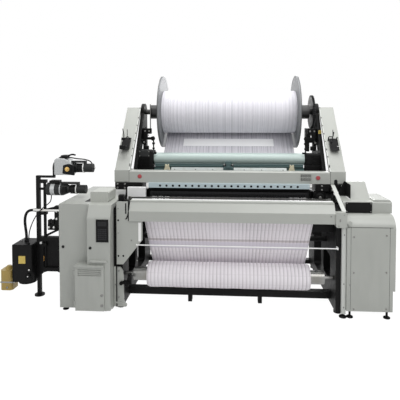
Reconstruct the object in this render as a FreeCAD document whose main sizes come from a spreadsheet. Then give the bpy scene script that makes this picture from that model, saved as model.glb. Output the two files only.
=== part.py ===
import FreeCAD, Part
import math
import os

import Sketcher
from FreeCAD import Placement, Rotation, Vector

# Terry loom with its pile warp beam on top, in millimetres.
# X runs along the cloth's width, the front faces -Y and Z is up.
# Every place below is measured from the loom's own centre line, the front face of its breast cover
# and the floor; the finished pieces are then shifted so that the origin lies under the middle of
# the whole machine, feeder stand included.

SIZES = {
    # overall reach from the centre line and from the front face
    "left_reach": 2720, "right_reach": 1785, "front_reach": 130, "back_reach": 1900,
    # clearances
    "fit_gap": 0.05, "free_gap": 0.3, "cloth_gap": 0.4,
    # side frames
    "frame_inner": 1160, "frame_outer": 1260, "frame_front": 60, "frame_back": 1650,
    "frame_bottom": 45, "frame_nose_top": 1150, "frame_top": 1350, "frame_step": 560,
    "frame_rail": 120, "window_round": 60,
    # beam stands
    "stand_thick": 45, "stand_front": 690, "stand_back": 1500, "boss_radius": 115, "stand_rib": 95,
    # pile warp beam
    "pile_axis_y": 1350, "pile_axis_z": 2215, "pile_flange_radius": 490, "pile_flange_gap": 895,
    "flange_thick": 16, "flange_bead": 9, "barrel_radius": 110, "pile_wound_radius": 290,
    "beam_hub_radius": 95, "beam_hub_end": 1085, "journal_radius": 35,
    "gear_module": 8, "gear_teeth": 55, "pinion_teeth": 12, "gear_face": 30, "gear_start": 1108,
    # ground warp beam
    "ground_axis_z": 520, "ground_flange_radius": 400, "ground_wound_radius": 300,
    # rollers
    "roller_axis_y": 980, "roller_axis_z": 1605, "roller_radius": 76, "roller_reach": 965,
    "shaft_radius": 20, "backrest_y": 1450, "backrest_z": 1235, "backrest_radius": 60,
    "takeup_y": 130, "takeup_z": 1080, "takeup_radius": 70, "takeup_reach": 950,
    "cloth_axis_y": 200, "cloth_axis_z": 370, "cloth_roller_radius": 75, "cloth_roll_radius": 143,
    "cloth_reach": 925, "cloth_roller_reach": 1060,
    # yarn and cloth sheets
    "warp_thick": 2, "cloth_thick": 2.2, "fell_y": 372, "fell_z": 1154, "pile_sheet_reach": 870,
    "shed_back": 835, "shed_z": 1140,
    # covers
    "upright_foot_y": 550, "upright_foot_z": 1500, "upright_head_y": 1200, "upright_head_z": 2275,
    "upright_depth": 130, "upright_inner": 1212, "upright_width": 168, "cover_wall": 4,
    "block_inner": 1205, "block_width": 180, "block_depth": 190, "block_round": 18,
    "cross_cover_low": 1355, "cross_cover_high": 1497, "cross_cover_depth": 105,
    "rail_low": 1298, "rail_hole_radius": 14, "rail_hole_pitch": 78, "rail_holes": 22, "rail_plate": 6,
    "rail_reach": 968,
    "breast_left": 1075, "breast_right": 1139, "breast_low": 1015, "breast_fold": 1125,
    "breast_lip": 1210, "breast_high": 1228, "breast_slant": 60, "breast_top_depth": 105,
    "bracket_reach": 1254, "bracket_high": 1145, "bracket_low": 985, "knob_radius": 24,
    "shield_low": 533, "shield_corner": 807, "shield_left": 1217, "shield_neck": 1090,
    "shield_right": 930, "shield_foot": 1145,
    # cross members
    "beam_low": 76, "beam_height": 76, "front_beam_y": 330, "rear_beam_y": 1560, "rear_beam_height": 58, "beam_depth": 90,
    "holder_x": 960, "holder_width": 40, "holder_thick": 10,
    "breast_beam_y": 215, "breast_beam_z": 930, "breast_beam_size": 90,
    "small_leg_left": 440, "small_leg_right": 370, "small_leg_width": 46,
    "foot_radius": 45, "foot_height": 22, "foot_screw_radius": 14, "foot_inset": 110,
    # left cabinet
    "cabinet_left": 1855, "cabinet_split": 1510, "cabinet_roof": 1195, "cabinet_low": 42,
    "cabinet_depth": 1150, "bulge_round": 130, "bulge_low": 60,
    "door_left": 1640, "door_right": 1325, "door_top": 560, "door_low": 62, "door_thick": 18,
    # right cabinet
    "right_cabinet_side": 1764, "right_cabinet_low": 90, "right_cabinet_high": 1100,
    "right_cabinet_depth": 640, "right_cabinet_round": 140, "notch_width": 24, "notch_high": 312,
    "housing_high": 1225, "housing_front": 185, "housing_depth": 420,
    "terminal_left": 1375, "terminal_width": 212, "terminal_thick": 42,
    # sley, reed and healds
    "sley_axis_y": 560, "sley_axis_z": 700, "sley_shaft_radius": 30, "reed_y": 470,
    "reed_low": 1096, "reed_high": 1262, "reed_thick": 8, "reed_dents": 96, "reed_reach": 930,
    "batten_low": 1010, "batten_depth": 78, "sword_x": 620, "sword_thick": 36,
    "heald_first_y": 680, "heald_pitch": 36, "heald_thick": 14, "heald_low": 860, "heald_high": 1330,
    "heald_reach": 1000, "heald_rail": 70, "heald_stay": 36, "heald_gaps": 24, "guide_depth": 16,
    # rapiers
    "rapier_y": 410, "rapier_z": 1166, "rapier_height": 16, "rapier_thick": 4, "rapier_inner": 952,
    "rapier_outer": 1745, "rapier_head": 120, "rapier_runner": 12, "rapier_head_depth": 26,
    # fixed bars in front
    "temple_y": 338, "temple_z": 1205, "temple_height": 20, "temple_thick": 12, "temple_reach": 905,
    "rod_y": 8, "rod_z": 754, "rod_radius": 6, "rod_overlap": 70,
    # feeder stand on the left
    "post_x": 2270, "post_y": 400, "post_size": 42, "post_top": 1450,
    "valve_low": 210, "valve_high": 640, "valve_depth": 300,
    "tank_width": 150, "tank_low": 80, "tank_high": 318, "tank_depth": 170,
    "casting_high": 715, "casting_thick": 60,
    "feeder_radius": 76, "drum_radius": 54, "drum_width": 70, "motor_cap": 110, "hose_radius": 16, "cable_radius": 6,
    # let-off gearbox and pinion
    "gearbox_width": 60, "gearbox_depth": 130, "gearbox_low": 1795, "gearbox_margin": 45,
    "gearbox_arm": 70, "motor_length": 120, "pinion_shaft_radius": 16,
    # guide roller's housings and tray
    "end_gap": 8, "housing_reach": 105, "tray_height": 34, "tray_depth": 70,
    "tray_lip": 12, "tray_bracket": 105, "pile_lift": 40,
    # small parts of covers and doors
    "slot_count": 13, "rail_set": 40, "bracket_proud": 20, "temple_arm": 30, "shield_stand": 40,
    "shield_slot": 16, "cabinet_wall": 5, "door_rib": 10, "door_ribs": 4, "knuckle_length": 50,
    "hinge_low": 120, "hinge_high": 450, "pin_radius": 4, "plate_inset": 100, "plate_low": 808,
    "plate_width": 135, "plate_height": 245,
    "roof_box_left": 1541, "roof_box_width": 207, "roof_box_front": 120, "roof_box_depth": 300,
    "roof_box_height": 116, "junction_left": 1200, "junction_width": 215, "junction_front": 440,
    "junction_depth": 60, "junction_low": 1190, "junction_height": 120, "junction_leg": 35,
    "terminal_front": 300, "terminal_run": 190, "terminal_rise": 172,
    "reed_seat": 20, "reed_rail": 24, "guide_low": 900, "guide_high": 1250,
    "switch_low": 1740, "switch_high": 1880, "switch_depth": 60, "switch_width": 97,
    "switch_wire": 4, "switch_rise": 110,
    "arm_size": 26, "upper_feeder_z": 1545, "lower_feeder_z": 1290, "feeder_length": 270,
    "upper_feeder_x": 2062, "lower_feeder_x": 2150,
    "drum_ribs": 10, "valve_width": 245, "casting_foot": 45, "casting_arch": 300,
    "pipe_radius": 18, "pipe_z": 1040,
}

doc = FreeCAD.newDocument("PowerLoom")
sheet = doc.addObject("Spreadsheet::Sheet", "Sizes")
for row, (alias, number) in enumerate(SIZES.items(), start=1):
    sheet.set(f"A{row}", alias)
    sheet.set(f"B{row}", str(number))
    sheet.setAlias(f"B{row}", alias)
doc.recompute()


class Size:
    """A length that knows both its value and the sheet expression that gives it."""

    def __init__(self, value, text):
        self.value = value
        self.text = text

    def _join(self, other, sign, value):
        return Size(value, f"({self.text} {sign} {size(other).text})")

    def __add__(self, other):
        return self._join(other, "+", self.value + size(other).value)

    def __radd__(self, other):
        return size(other) + self

    def __sub__(self, other):
        return self._join(other, "-", self.value - size(other).value)

    def __rsub__(self, other):
        return size(other) - self

    def __mul__(self, other):
        return self._join(other, "*", self.value * size(other).value)

    def __rmul__(self, other):
        return size(other) * self

    def __truediv__(self, other):
        return self._join(other, "/", self.value / size(other).value)

    def __neg__(self):
        return Size(-self.value, f"(-{self.text})")


def size(number):
    """Wrap a plain number, so that numbers and sizes add up alike."""
    return number if isinstance(number, Size) else Size(float(number), f"({number})")


class Sheet:
    """The sheet's sizes by name: dim.frame_inner is the cell's value and its expression."""

    def __getattr__(self, alias):
        return Size(float(sheet.get(alias)), f"Sizes.{alias}")


dim = Sheet()
SHIFT_X = (dim.left_reach - dim.right_reach) / 2
SHIFT_Y = (dim.front_reach - dim.back_reach) / 2
SHIFT = Vector(SHIFT_X.value, SHIFT_Y.value, 0)
AXIS_TURN = {"X": Rotation(Vector(0, 1, 0), 90), "Y": Rotation(Vector(1, 0, 0), -90), "Z": Rotation()}
nodes = []


# ---------------------------------------------------------------- building blocks

def bind(obj, **sizes):
    """Bind each property of the object to its size's expression."""
    for prop, value in sizes.items():
        obj.setExpression(prop, size(value).text)
    return obj


def put(obj, x, y, z):
    """Bind the object's place in the loom's own frame."""
    obj.setExpression("Placement.Base.x", size(x).text)
    obj.setExpression("Placement.Base.y", size(y).text)
    obj.setExpression("Placement.Base.z", size(z).text)
    return obj


def box(x, y, z, length, width, height):
    """A block from its lowest corner."""
    obj = bind(doc.addObject("Part::Box", "Block"), Length=length, Width=width, Height=height)
    return put(obj, x, y, z)


def wide_box(reach, y, z, width, height):
    """A block that spans the same reach on both sides of the centre line."""
    return box(-reach, y, z, size(reach) * 2, width, height)


def cylinder(axis, x, y, z, radius, length):
    """A round bar that starts at the given point and runs along the axis."""
    obj = bind(doc.addObject("Part::Cylinder", "Round"), Radius=radius, Height=length)
    obj.Placement = Placement(Vector(), AXIS_TURN[axis])
    return put(obj, x, y, z)


def wide_cylinder(reach, y, z, radius):
    """A round bar along X, the same reach on both sides of the centre line."""
    return cylinder("X", -size(reach), y, z, radius, size(reach) * 2)


def cone(axis, x, y, z, radius_start, radius_end, length):
    """A tapered round bar along the axis."""
    obj = bind(doc.addObject("Part::Cone", "Taper"), Radius1=radius_start, Radius2=radius_end,
               Height=length)
    obj.Placement = Placement(Vector(), AXIS_TURN[axis])
    return put(obj, x, y, z)


def fuse(*pieces):
    """One solid out of several that overlap or touch."""
    obj = doc.addObject("Part::MultiFuse", "Union")
    obj.Shapes = list(pieces)
    return obj


def cut(base, *tools):
    """The base without the tools."""
    obj = doc.addObject("Part::Cut", "Cut")
    obj.Base = base
    obj.Tool = tools[0] if len(tools) == 1 else fuse(*tools)
    return obj


def group(*pieces):
    """Separate solids that share one node."""
    obj = doc.addObject("Part::Compound", "Set")
    obj.Links = list(pieces)
    return obj


def rounded(base, radius, picks):
    """Round the edges for which picks(edge) is true."""
    doc.recompute()
    obj = doc.addObject("Part::Fillet", "Rounded")
    obj.Base = base
    obj.Edges = [(number, radius.value, radius.value)
                 for number, edge in enumerate(base.Shape.Edges, start=1) if picks(edge)]
    return obj


def along(axis):
    """A test for straight edges that run along the axis."""
    def picks(edge):
        if not isinstance(edge.Curve, Part.Line):
            return False
        return abs(getattr(edge.tangentAt(edge.FirstParameter), axis)) > 0.999
    return picks


def node(label, obj):
    """Name a finished sub-part and shift it into the machine's frame."""
    if obj.TypeId == "Part::Feature":
        obj.Placement = Placement(SHIFT, Rotation()).multiply(obj.Placement)
    else:
        bound = {path.lstrip("."): text for path, text in obj.ExpressionEngine}
        x = bound.get("Placement.Base.x", "0")
        y = bound.get("Placement.Base.y", "0")
        obj.setExpression("Placement.Base.x", f"{SHIFT_X.text} + {x}")
        obj.setExpression("Placement.Base.y", f"{SHIFT_Y.text} + {y}")
    obj.Label = label
    nodes.append(obj)
    return obj


def body(label):
    """An empty PartDesign body that will become a sub-part."""
    return doc.addObject("PartDesign::Body", label)


def plane_sketch(owner, role, offset):
    """A sketch on one of the body's own origin planes, moved along the plane's normal."""
    plane = next(item for item in owner.Origin.OriginFeatures if item.Role == role)
    sketch = owner.newObject("Sketcher::SketchObject", "Outline")
    sketch.AttachmentSupport = [(plane, "")]
    sketch.MapMode = "FlatFace"
    sketch.setExpression("AttachmentOffset.Base.z", size(offset).text)
    return sketch


def fix_point(sketch, element, position, point):
    """Tie one sketch point to its two sizes."""
    for kind, value in zip(("DistanceX", "DistanceY"), point):
        value = size(value)
        if abs(value.value) < 1e-9:
            axis = -2 if kind == "DistanceX" else -1
            sketch.addConstraint(Sketcher.Constraint("PointOnObject", element, position, axis))
            continue
        index = sketch.addConstraint(
            Sketcher.Constraint(kind, -1, 1, element, position, value.value))
        sketch.setExpression(f"Constraints[{index}]", value.text)


def polygon(owner, role, offset, points):
    """A closed outline with straight sides through the given points."""
    sketch = plane_sketch(owner, role, offset)
    flat = [Vector(size(u).value, size(v).value, 0) for u, v in points]
    count = len(flat)
    lines = [Part.LineSegment(flat[i], flat[(i + 1) % count]) for i in range(count)]
    sketch.addGeometry(lines, False)
    sketch.addConstraint(
        [Sketcher.Constraint("Coincident", i, 2, (i + 1) % count, 1) for i in range(count)])
    for i, point in enumerate(points):
        fix_point(sketch, i, 1, point)
    return sketch


def circles(owner, role, offset, rounds):
    """A sketch of full circles, each given as (u, v, radius)."""
    sketch = plane_sketch(owner, role, offset)
    for i, (u, v, radius) in enumerate(rounds):
        centre = Vector(size(u).value, size(v).value, 0)
        sketch.addGeometry(Part.Circle(centre, Vector(0, 0, 1), size(radius).value), False)
        fix_point(sketch, i, 3, (u, v))
        index = sketch.addConstraint(Sketcher.Constraint("Radius", i, size(radius).value))
        sketch.setExpression(f"Constraints[{index}]", size(radius).text)
    return sketch


def pad(owner, sketch, length, backwards=False):
    """Raise the sketch by the length."""
    feature = owner.newObject("PartDesign::Pad", "Pad")
    feature.Profile = sketch
    feature.Reversed = backwards
    feature.setExpression("Length", size(length).text)
    sketch.Visibility = False
    return feature


def pocket(owner, sketch, length, backwards=True):
    """Cut the sketch into the body, and make sure that it removes something."""
    doc.recompute()
    before = owner.Shape.Volume
    feature = owner.newObject("PartDesign::Pocket", "Pocket")
    feature.Profile = sketch
    feature.Reversed = backwards
    feature.setExpression("Length", size(length).text)
    doc.recompute()
    if owner.Shape.Volume >= before:
        raise RuntimeError(f"a pocket in {owner.Label} removes nothing")
    return feature


def round_corners(owner, radius, picks):
    """Round the edges of the body's present form for which picks(edge) is true."""
    doc.recompute()
    base = owner.Tip
    names = [f"Edge{number}" for number, edge in enumerate(base.Shape.Edges, start=1) if picks(edge)]
    feature = owner.newObject("PartDesign::Fillet", "Fillet")
    feature.Base = (base, names)
    feature.setExpression("Radius", size(radius).text)
    return feature


def side_slab(label, x_start, thick, outline):
    """A plate that stands along Y and Z, from x_start over its thickness."""
    plate = body(label)
    pad(plate, polygon(plate, "YZ_Plane", x_start, outline), thick)
    return plate


def front_slab(label, y_start, depth, outline):
    """A plate that stands along X and Z, from y_start backwards over its depth."""
    plate = body(label)
    pad(plate, polygon(plate, "XZ_Plane", -size(y_start), outline), depth, backwards=True)
    return plate


def inside(low, high):
    """A test for straight edges along X whose y and z lie between two corners."""
    def picks(edge):
        spot = edge.Vertexes[0].Point
        return (along("x")(edge) and low[0] < spot.y < high[0] and low[1] < spot.z < high[1])
    return picks


def shape_node(label, shape):
    """A sub-part whose form comes from a formula."""
    obj = doc.addObject("Part::Feature", label)
    obj.Shape = shape
    return node(label, obj)


# ---------------------------------------------------------------- yarn paths, gears and tubes

def tangent(first, second):
    """Ends of the straight run from one roller to the next.

    A roller is (y, z, radius, side), with side 1 where it lies left of the run and -1 where right.
    """
    gap_y, gap_z = second[0] - first[0], second[1] - first[1]
    lean = math.asin((second[3] * second[2] - first[3] * first[2]) / math.hypot(gap_y, gap_z))
    angle = math.atan2(gap_z, gap_y) - lean
    normal = (-math.sin(angle), math.cos(angle))
    return [Vector(0, y - normal[0] * side * radius, z - normal[1] * side * radius)
            for y, z, radius, side in (first, second)]


def run_edges(rollers):
    """Straight runs between the rollers, with an arc round each roller on the way."""
    runs = [tangent(first, second) for first, second in zip(rollers, rollers[1:])]
    edges = []
    for i, (start, end) in enumerate(runs):
        if i:
            y, z, radius, side = rollers[i]
            last = runs[i - 1][1]
            middle = (last + start) / 2 - Vector(0, y, z)
            middle = Vector(0, y, z) + middle * (radius / middle.Length)
            edges.append(Part.Arc(last, middle, start).toShape())
        edges.append(Part.LineSegment(start, end).toShape())
    return edges


def sheet_shape(rollers, clearance, thick, reach):
    """A sheet of yarn or cloth that runs round rollers, the same reach on both sides.

    Its two faces are the same path at two radii, so they stay parallel.
    """
    faces = []
    for layer in (0, 1):
        path = []
        for y, z, radius, side in rollers:
            outer = layer if side > 0 else 1 - layer
            path.append((y, z, radius + clearance + outer * thick, side))
        faces.append(run_edges(path))
    starts = [edges[0].Vertexes[0].Point for edges in faces]
    ends = [edges[-1].Vertexes[-1].Point for edges in faces]
    closing = [Part.LineSegment(*starts).toShape(), Part.LineSegment(*ends).toShape()]
    wire = Part.Wire(Part.__sortEdges__(faces[0] + faces[1] + closing))
    solid = Part.Face(wire).extrude(Vector(2 * reach, 0, 0))
    solid.translate(Vector(-reach, 0, 0))
    return solid


def gear_shape(teeth, module, face, bore, start_angle, backlash=0.8, pressure=25, height=0.8):
    """A spur gear across X with involute flanks, its first tooth centred on start_angle."""
    pitch = teeth * module / 2
    base = pitch * math.cos(math.radians(pressure))
    tip, root = pitch + height * module, pitch - (height + 0.25) * module
    flat = math.tan(math.radians(pressure)) - math.radians(pressure)
    half_pitch = math.pi / (2 * teeth) + flat - backlash / (2 * pitch)
    radii = sorted({root, max(root, base), pitch, tip})

    def half_angle(radius):
        lean = math.acos(min(1.0, base / radius))
        return half_pitch - (math.tan(lean) - lean)

    points = []
    for tooth in range(teeth):
        centre = start_angle + tooth * 2 * math.pi / teeth
        flank = [(radius, half_angle(radius)) for radius in radii]
        for radius, half in flank:
            points.append((radius, centre - half))
        for radius, half in reversed(flank):
            points.append((radius, centre + half))
    corners = [Vector(0, radius * math.cos(angle), radius * math.sin(angle)) for radius, angle in points]
    wheel = Part.Face(Part.makePolygon(corners + corners[:1])).extrude(Vector(face, 0, 0))
    if bore:
        wheel = wheel.cut(Part.makeCylinder(bore, face, Vector(), Vector(1, 0, 0)))
    return wheel


def tube_shape(points, radius, label):
    """A hose or cable: straight runs joined by tangent arcs as large as the runs allow."""
    spots = [Vector(*point) for point in points]
    edges, last, radii = [], spots[0], []
    for before, corner, after in zip(spots, spots[1:], spots[2:]):
        arrive, leave = (corner - before), (after - corner)
        turn = arrive.getAngle(leave)
        reach = 0.45 * min(arrive.Length, leave.Length)
        bend = reach / math.tan(turn / 2)
        radii.append(bend)
        arrive.normalize()
        leave.normalize()
        start, end = corner - arrive * reach, corner + leave * reach
        inward = (leave - arrive).normalize()
        centre = corner + inward * (bend / math.cos(turn / 2))
        edges.append(Part.LineSegment(last, start).toShape())
        edges.append(Part.Arc(start, centre - inward * bend, end).toShape())
        last = end
    edges.append(Part.LineSegment(last, spots[-1]).toShape())
    path = Part.Wire(edges)
    start_way = (spots[1] - spots[0]).normalize()
    section = Part.Wire(Part.makeCircle(radius, spots[0], start_way))
    solid = path.makePipeShell([section], True, False)
    filled = math.pi * radius ** 2 * path.Length
    print(f"{label}: length {path.Length:.0f}, least radius {min(radii):.0f}, "
          f"volume against section times length {solid.Volume / filled:.4f}")
    return solid


# ---------------------------------------------------------------- side frames and beam stands

def bore_list():
    """Every shaft that turns in the side frames: (y, z, shaft radius)."""
    return [
        (dim.takeup_y, dim.takeup_z, dim.shaft_radius),
        (dim.cloth_axis_y, dim.cloth_axis_z, dim.shaft_radius),
        (dim.sley_axis_y, dim.sley_axis_z, dim.sley_shaft_radius),
        (dim.backrest_y, dim.backrest_z, dim.shaft_radius),
        (ground_axis_y, dim.ground_axis_z, dim.journal_radius),
    ]


def side_frame(label, side):
    """Cast side frame: a plate with two rounded windows, bearing bores and a ribbed nose."""
    thick = dim.frame_outer - dim.frame_inner
    start = dim.frame_inner if side > 0 else -dim.frame_outer
    step = dim.frame_top - dim.frame_nose_top
    frame = side_slab(label, start, thick, [
        (dim.frame_front, dim.frame_bottom),
        (dim.frame_back, dim.frame_bottom),
        (dim.frame_back, dim.frame_top - step),
        (dim.frame_back - step / 2, dim.frame_top),
        (dim.frame_step + step / 2, dim.frame_top),
        (dim.frame_step, dim.frame_nose_top),
        (dim.frame_front, dim.frame_nose_top),
    ])
    runner = dim.rapier_runner / 2
    pad(frame, polygon(frame, "YZ_Plane", start, [
        (dim.rapier_y - runner, dim.frame_nose_top - 1), (dim.rapier_y + runner, dim.frame_nose_top - 1),
        (dim.rapier_y + runner, dim.rapier_z - dim.rapier_height / 2 - dim.free_gap),
        (dim.rapier_y - runner, dim.rapier_z - dim.rapier_height / 2 - dim.free_gap)]), thick)
    low = dim.frame_bottom + dim.frame_rail
    windows = [
        ((dim.cloth_axis_y + dim.frame_rail, low + dim.frame_rail),
         (dim.sley_axis_y + dim.frame_rail, dim.sley_axis_z - dim.frame_rail)),
        ((dim.sley_axis_y + dim.frame_rail * 2, low),
         (ground_axis_y - dim.frame_rail * 2, dim.backrest_z - dim.frame_rail * 2)),
    ]
    for (y_low, z_low), (y_high, z_high) in windows:
        outline = [(y_low, z_low), (y_high, z_low), (y_high, z_high), (y_low, z_high)]
        pocket(frame, polygon(frame, "YZ_Plane", start, outline), thick)
    doc.recompute()
    for (y_low, z_low), (y_high, z_high) in windows:
        round_corners(frame, dim.window_round, inside((y_low.value - 1, z_low.value - 1),
                                                      (y_high.value + 1, z_high.value + 1)))
    holes = [(y, z, radius + dim.fit_gap) for y, z, radius in bore_list()]
    pocket(frame, circles(frame, "YZ_Plane", start, holes), thick)
    node(label, frame)


def beam_stand(side):
    """Leaning stand that carries the pile beam's journal and the guide roller's shaft."""
    start = dim.frame_inner if side > 0 else -dim.frame_inner - dim.stand_thick
    reach = dim.boss_radius
    stand = side_slab("Stand", start, dim.stand_thick, [
        (dim.stand_front, dim.frame_top),
        (dim.stand_back, dim.frame_top),
        (dim.pile_axis_y + reach * 0.9, dim.pile_axis_z),
        (dim.pile_axis_y - reach * 0.9, dim.pile_axis_z),
    ])
    pad(stand, circles(stand, "YZ_Plane", start, [(dim.pile_axis_y, dim.pile_axis_z, reach)]),
        dim.stand_thick)
    rib = dim.stand_rib
    window_low = dim.roller_axis_z + rib
    pocket(stand, polygon(stand, "YZ_Plane", start, [
        (dim.roller_axis_y + rib * 1.2, window_low),
        (dim.stand_back - rib * 1.2, window_low),
        (dim.pile_axis_y + rib * 0.2, dim.pile_axis_z - reach - rib),
        (dim.pile_axis_y - rib * 0.5, dim.pile_axis_z - reach - rib),
    ]), dim.stand_thick)
    pocket(stand, polygon(stand, "YZ_Plane", start, [
        (dim.roller_axis_y + rib, dim.frame_top + rib * 0.6),
        (dim.stand_back - rib, dim.frame_top + rib * 0.6),
        (dim.stand_back - rib * 1.1, dim.roller_axis_z),
        (dim.roller_axis_y + rib, dim.roller_axis_z),
    ]), dim.stand_thick)
    pocket(stand, circles(stand, "YZ_Plane", start, [
        (dim.pile_axis_y, dim.pile_axis_z, dim.journal_radius + dim.fit_gap),
        (dim.roller_axis_y, dim.roller_axis_z, dim.shaft_radius + dim.fit_gap),
    ]), dim.stand_thick)
    return stand


ground_axis_y = dim.back_reach - dim.ground_flange_radius
bulge_reach = dim.front_reach - dim.door_thick * 2 - dim.free_gap
side_frame("left_side_frame", -1)
side_frame("right_side_frame", 1)
node("beam_stands", group(beam_stand(-1), beam_stand(1)))


# ---------------------------------------------------------------- cross members and feet

beam_top = dim.beam_low + dim.beam_height
leg_shapes = [box(x - dim.small_leg_width / 2, dim.front_beam_y, 0,
                  dim.small_leg_width, dim.beam_depth, dim.beam_low)
              for x in (-dim.small_leg_left, dim.small_leg_right)]
front_beam = fuse(wide_box(dim.frame_inner, dim.front_beam_y, dim.beam_low, dim.beam_depth,
                           dim.beam_height), *leg_shapes)
rear_beam = wide_box(dim.frame_inner, dim.rear_beam_y, dim.frame_bottom, dim.beam_depth, dim.rear_beam_height)
node("cross_beams", group(front_beam, rear_beam))

breast_half = dim.breast_beam_size / 2
cover_back = dim.breast_slant + dim.breast_top_depth
holders = [box(x, cover_back, dim.breast_beam_z, dim.holder_width, dim.holder_thick,
               dim.breast_high - dim.breast_beam_z)
           for x in (-dim.holder_x - dim.holder_width, dim.holder_x)]
node("breast_beam", fuse(
    wide_box(dim.frame_inner, dim.breast_beam_y - breast_half, dim.breast_beam_z - breast_half,
             dim.breast_beam_size, dim.breast_beam_size), *holders))


def levelling_foot(x, y):
    """A round pad with the screw that carries the frame above it."""
    return fuse(cylinder("Z", x, y, 0, dim.foot_radius, dim.foot_height),
                cylinder("Z", x, y, 0, dim.foot_screw_radius, dim.frame_bottom))


frame_middle = (dim.frame_inner + dim.frame_outer) / 2
node("levelling_feet", group(*[
    levelling_foot(x, y)
    for x in (-frame_middle, frame_middle)
    for y in (dim.frame_front + dim.foot_inset, dim.frame_back - dim.foot_inset)]))


# ---------------------------------------------------------------- warp beams

def flanged_beam(axis_y, axis_z, flange_radius):
    """Barrel, two dished flanges with a rolled rim, hubs and journals, turned as one piece."""
    gap, thick, bead = dim.pile_flange_gap, dim.flange_thick, dim.flange_bead
    pieces = [
        wide_cylinder(gap, axis_y, axis_z, dim.barrel_radius),
        wide_cylinder(dim.frame_inner + dim.stand_thick, axis_y, axis_z, dim.journal_radius),
    ]
    for side in (-1, 1):
        inner = gap if side > 0 else -gap - thick
        rim = gap + thick - bead if side > 0 else -gap - thick - bead
        hub = gap + thick if side > 0 else -dim.beam_hub_end
        pieces.append(cylinder("X", inner, axis_y, axis_z, flange_radius, thick))
        pieces.append(cut(cylinder("X", rim, axis_y, axis_z, flange_radius, bead * 2),
                          cylinder("X", rim, axis_y, axis_z, flange_radius - bead * 2, bead * 2)))
        pieces.append(cylinder("X", hub, axis_y, axis_z, dim.beam_hub_radius,
                               dim.beam_hub_end - gap - thick))
    return fuse(*pieces)


def wound_yarn(axis_y, axis_z, radius):
    """All the turns between the flanges as one hollow roll on the barrel."""
    reach = dim.pile_flange_gap - dim.free_gap
    return cut(wide_cylinder(reach, axis_y, axis_z, radius),
               wide_cylinder(reach, axis_y, axis_z, dim.barrel_radius + dim.free_gap))


node("pile_beam", flanged_beam(dim.pile_axis_y, dim.pile_axis_z, dim.pile_flange_radius))
node("pile_warp", wound_yarn(dim.pile_axis_y, dim.pile_axis_z, dim.pile_wound_radius))
node("ground_beam", flanged_beam(ground_axis_y, dim.ground_axis_z, dim.ground_flange_radius))
node("ground_warp", wound_yarn(ground_axis_y, dim.ground_axis_z, dim.ground_wound_radius))

module = dim.gear_module.value
gear_teeth, pinion_teeth = int(dim.gear_teeth.value), int(dim.pinion_teeth.value)
pinion_drop = dim.gear_module * (dim.gear_teeth + dim.pinion_teeth) / 2
pinion_z = dim.pile_axis_z - pinion_drop
beam_gear = gear_shape(gear_teeth, module, dim.gear_face.value,
                       dim.journal_radius.value + dim.fit_gap.value, -math.pi / 2)
beam_gear.translate(Vector(dim.gear_start.value, dim.pile_axis_y.value, dim.pile_axis_z.value))
shape_node("pile_beam_gear", beam_gear)
pinion = gear_shape(pinion_teeth, module, dim.gear_face.value, 0,
                    math.pi / 2 + math.pi / pinion_teeth)
pinion.translate(Vector(dim.gear_start.value, dim.pile_axis_y.value, pinion_z.value))
pinion_reach = dim.gearbox_width.value / 2 + dim.gear_face.value
pinion_shaft = Part.makeCylinder(
    dim.pinion_shaft_radius.value, pinion_reach,
    Vector(dim.gear_start.value - dim.gearbox_width.value / 2, dim.pile_axis_y.value, pinion_z.value),
    Vector(1, 0, 0))
shape_node("letoff_pinion", pinion.fuse(pinion_shaft))


def letoff_gearbox():
    """Gearbox on the right stand's inner face, with an arm that passes under the pinion."""
    block_start = dim.gear_start - 3 - dim.gearbox_width
    block = box(block_start, dim.pile_axis_y - dim.gearbox_depth / 2, dim.gearbox_low,
                dim.gearbox_width, dim.gearbox_depth, pinion_z + dim.gearbox_margin - dim.gearbox_low)
    arm = box(block_start, dim.pile_axis_y - dim.gearbox_depth / 2, dim.gearbox_low,
              dim.frame_inner - block_start, dim.gearbox_depth, dim.gearbox_arm)
    motor = cylinder("Z", block_start + dim.gearbox_width / 2, dim.pile_axis_y, dim.gearbox_low - dim.motor_length,
                     dim.gearbox_width * 0.45, dim.motor_length)
    bore = cylinder("X", block_start, dim.pile_axis_y, pinion_z, dim.pinion_shaft_radius + dim.fit_gap,
                    dim.gearbox_width)
    return cut(fuse(block, arm, motor), bore)


node("letoff_gearbox", letoff_gearbox())


# ---------------------------------------------------------------- rollers

def shaft_roller(y, z, radius, reach, shaft_end):
    """A roller with its two shaft ends."""
    return fuse(wide_cylinder(reach, y, z, radius), wide_cylinder(shaft_end, y, z, dim.shaft_radius))


stand_face = dim.frame_inner + dim.stand_thick
shaft_end = dim.frame_outer - dim.free_gap
node("guide_roller", shaft_roller(dim.roller_axis_y, dim.roller_axis_z, dim.roller_radius,
                                  dim.roller_reach, stand_face))
node("backrest_roller", shaft_roller(dim.backrest_y, dim.backrest_z, dim.backrest_radius,
                                     dim.roller_reach, shaft_end))
node("takeup_roller", shaft_roller(dim.takeup_y, dim.takeup_z, dim.takeup_radius,
                                   dim.takeup_reach, shaft_end))
cloth_core = dim.cloth_roller_radius
node("cloth_roller", shaft_roller(dim.cloth_axis_y, dim.cloth_axis_z, cloth_core,
                                  dim.cloth_roller_reach, shaft_end))
node("cloth_roll", cut(
    wide_cylinder(dim.cloth_reach, dim.cloth_axis_y, dim.cloth_axis_z, dim.cloth_roll_radius),
    wide_cylinder(dim.cloth_reach, dim.cloth_axis_y, dim.cloth_axis_z, cloth_core + dim.free_gap)))


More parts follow.
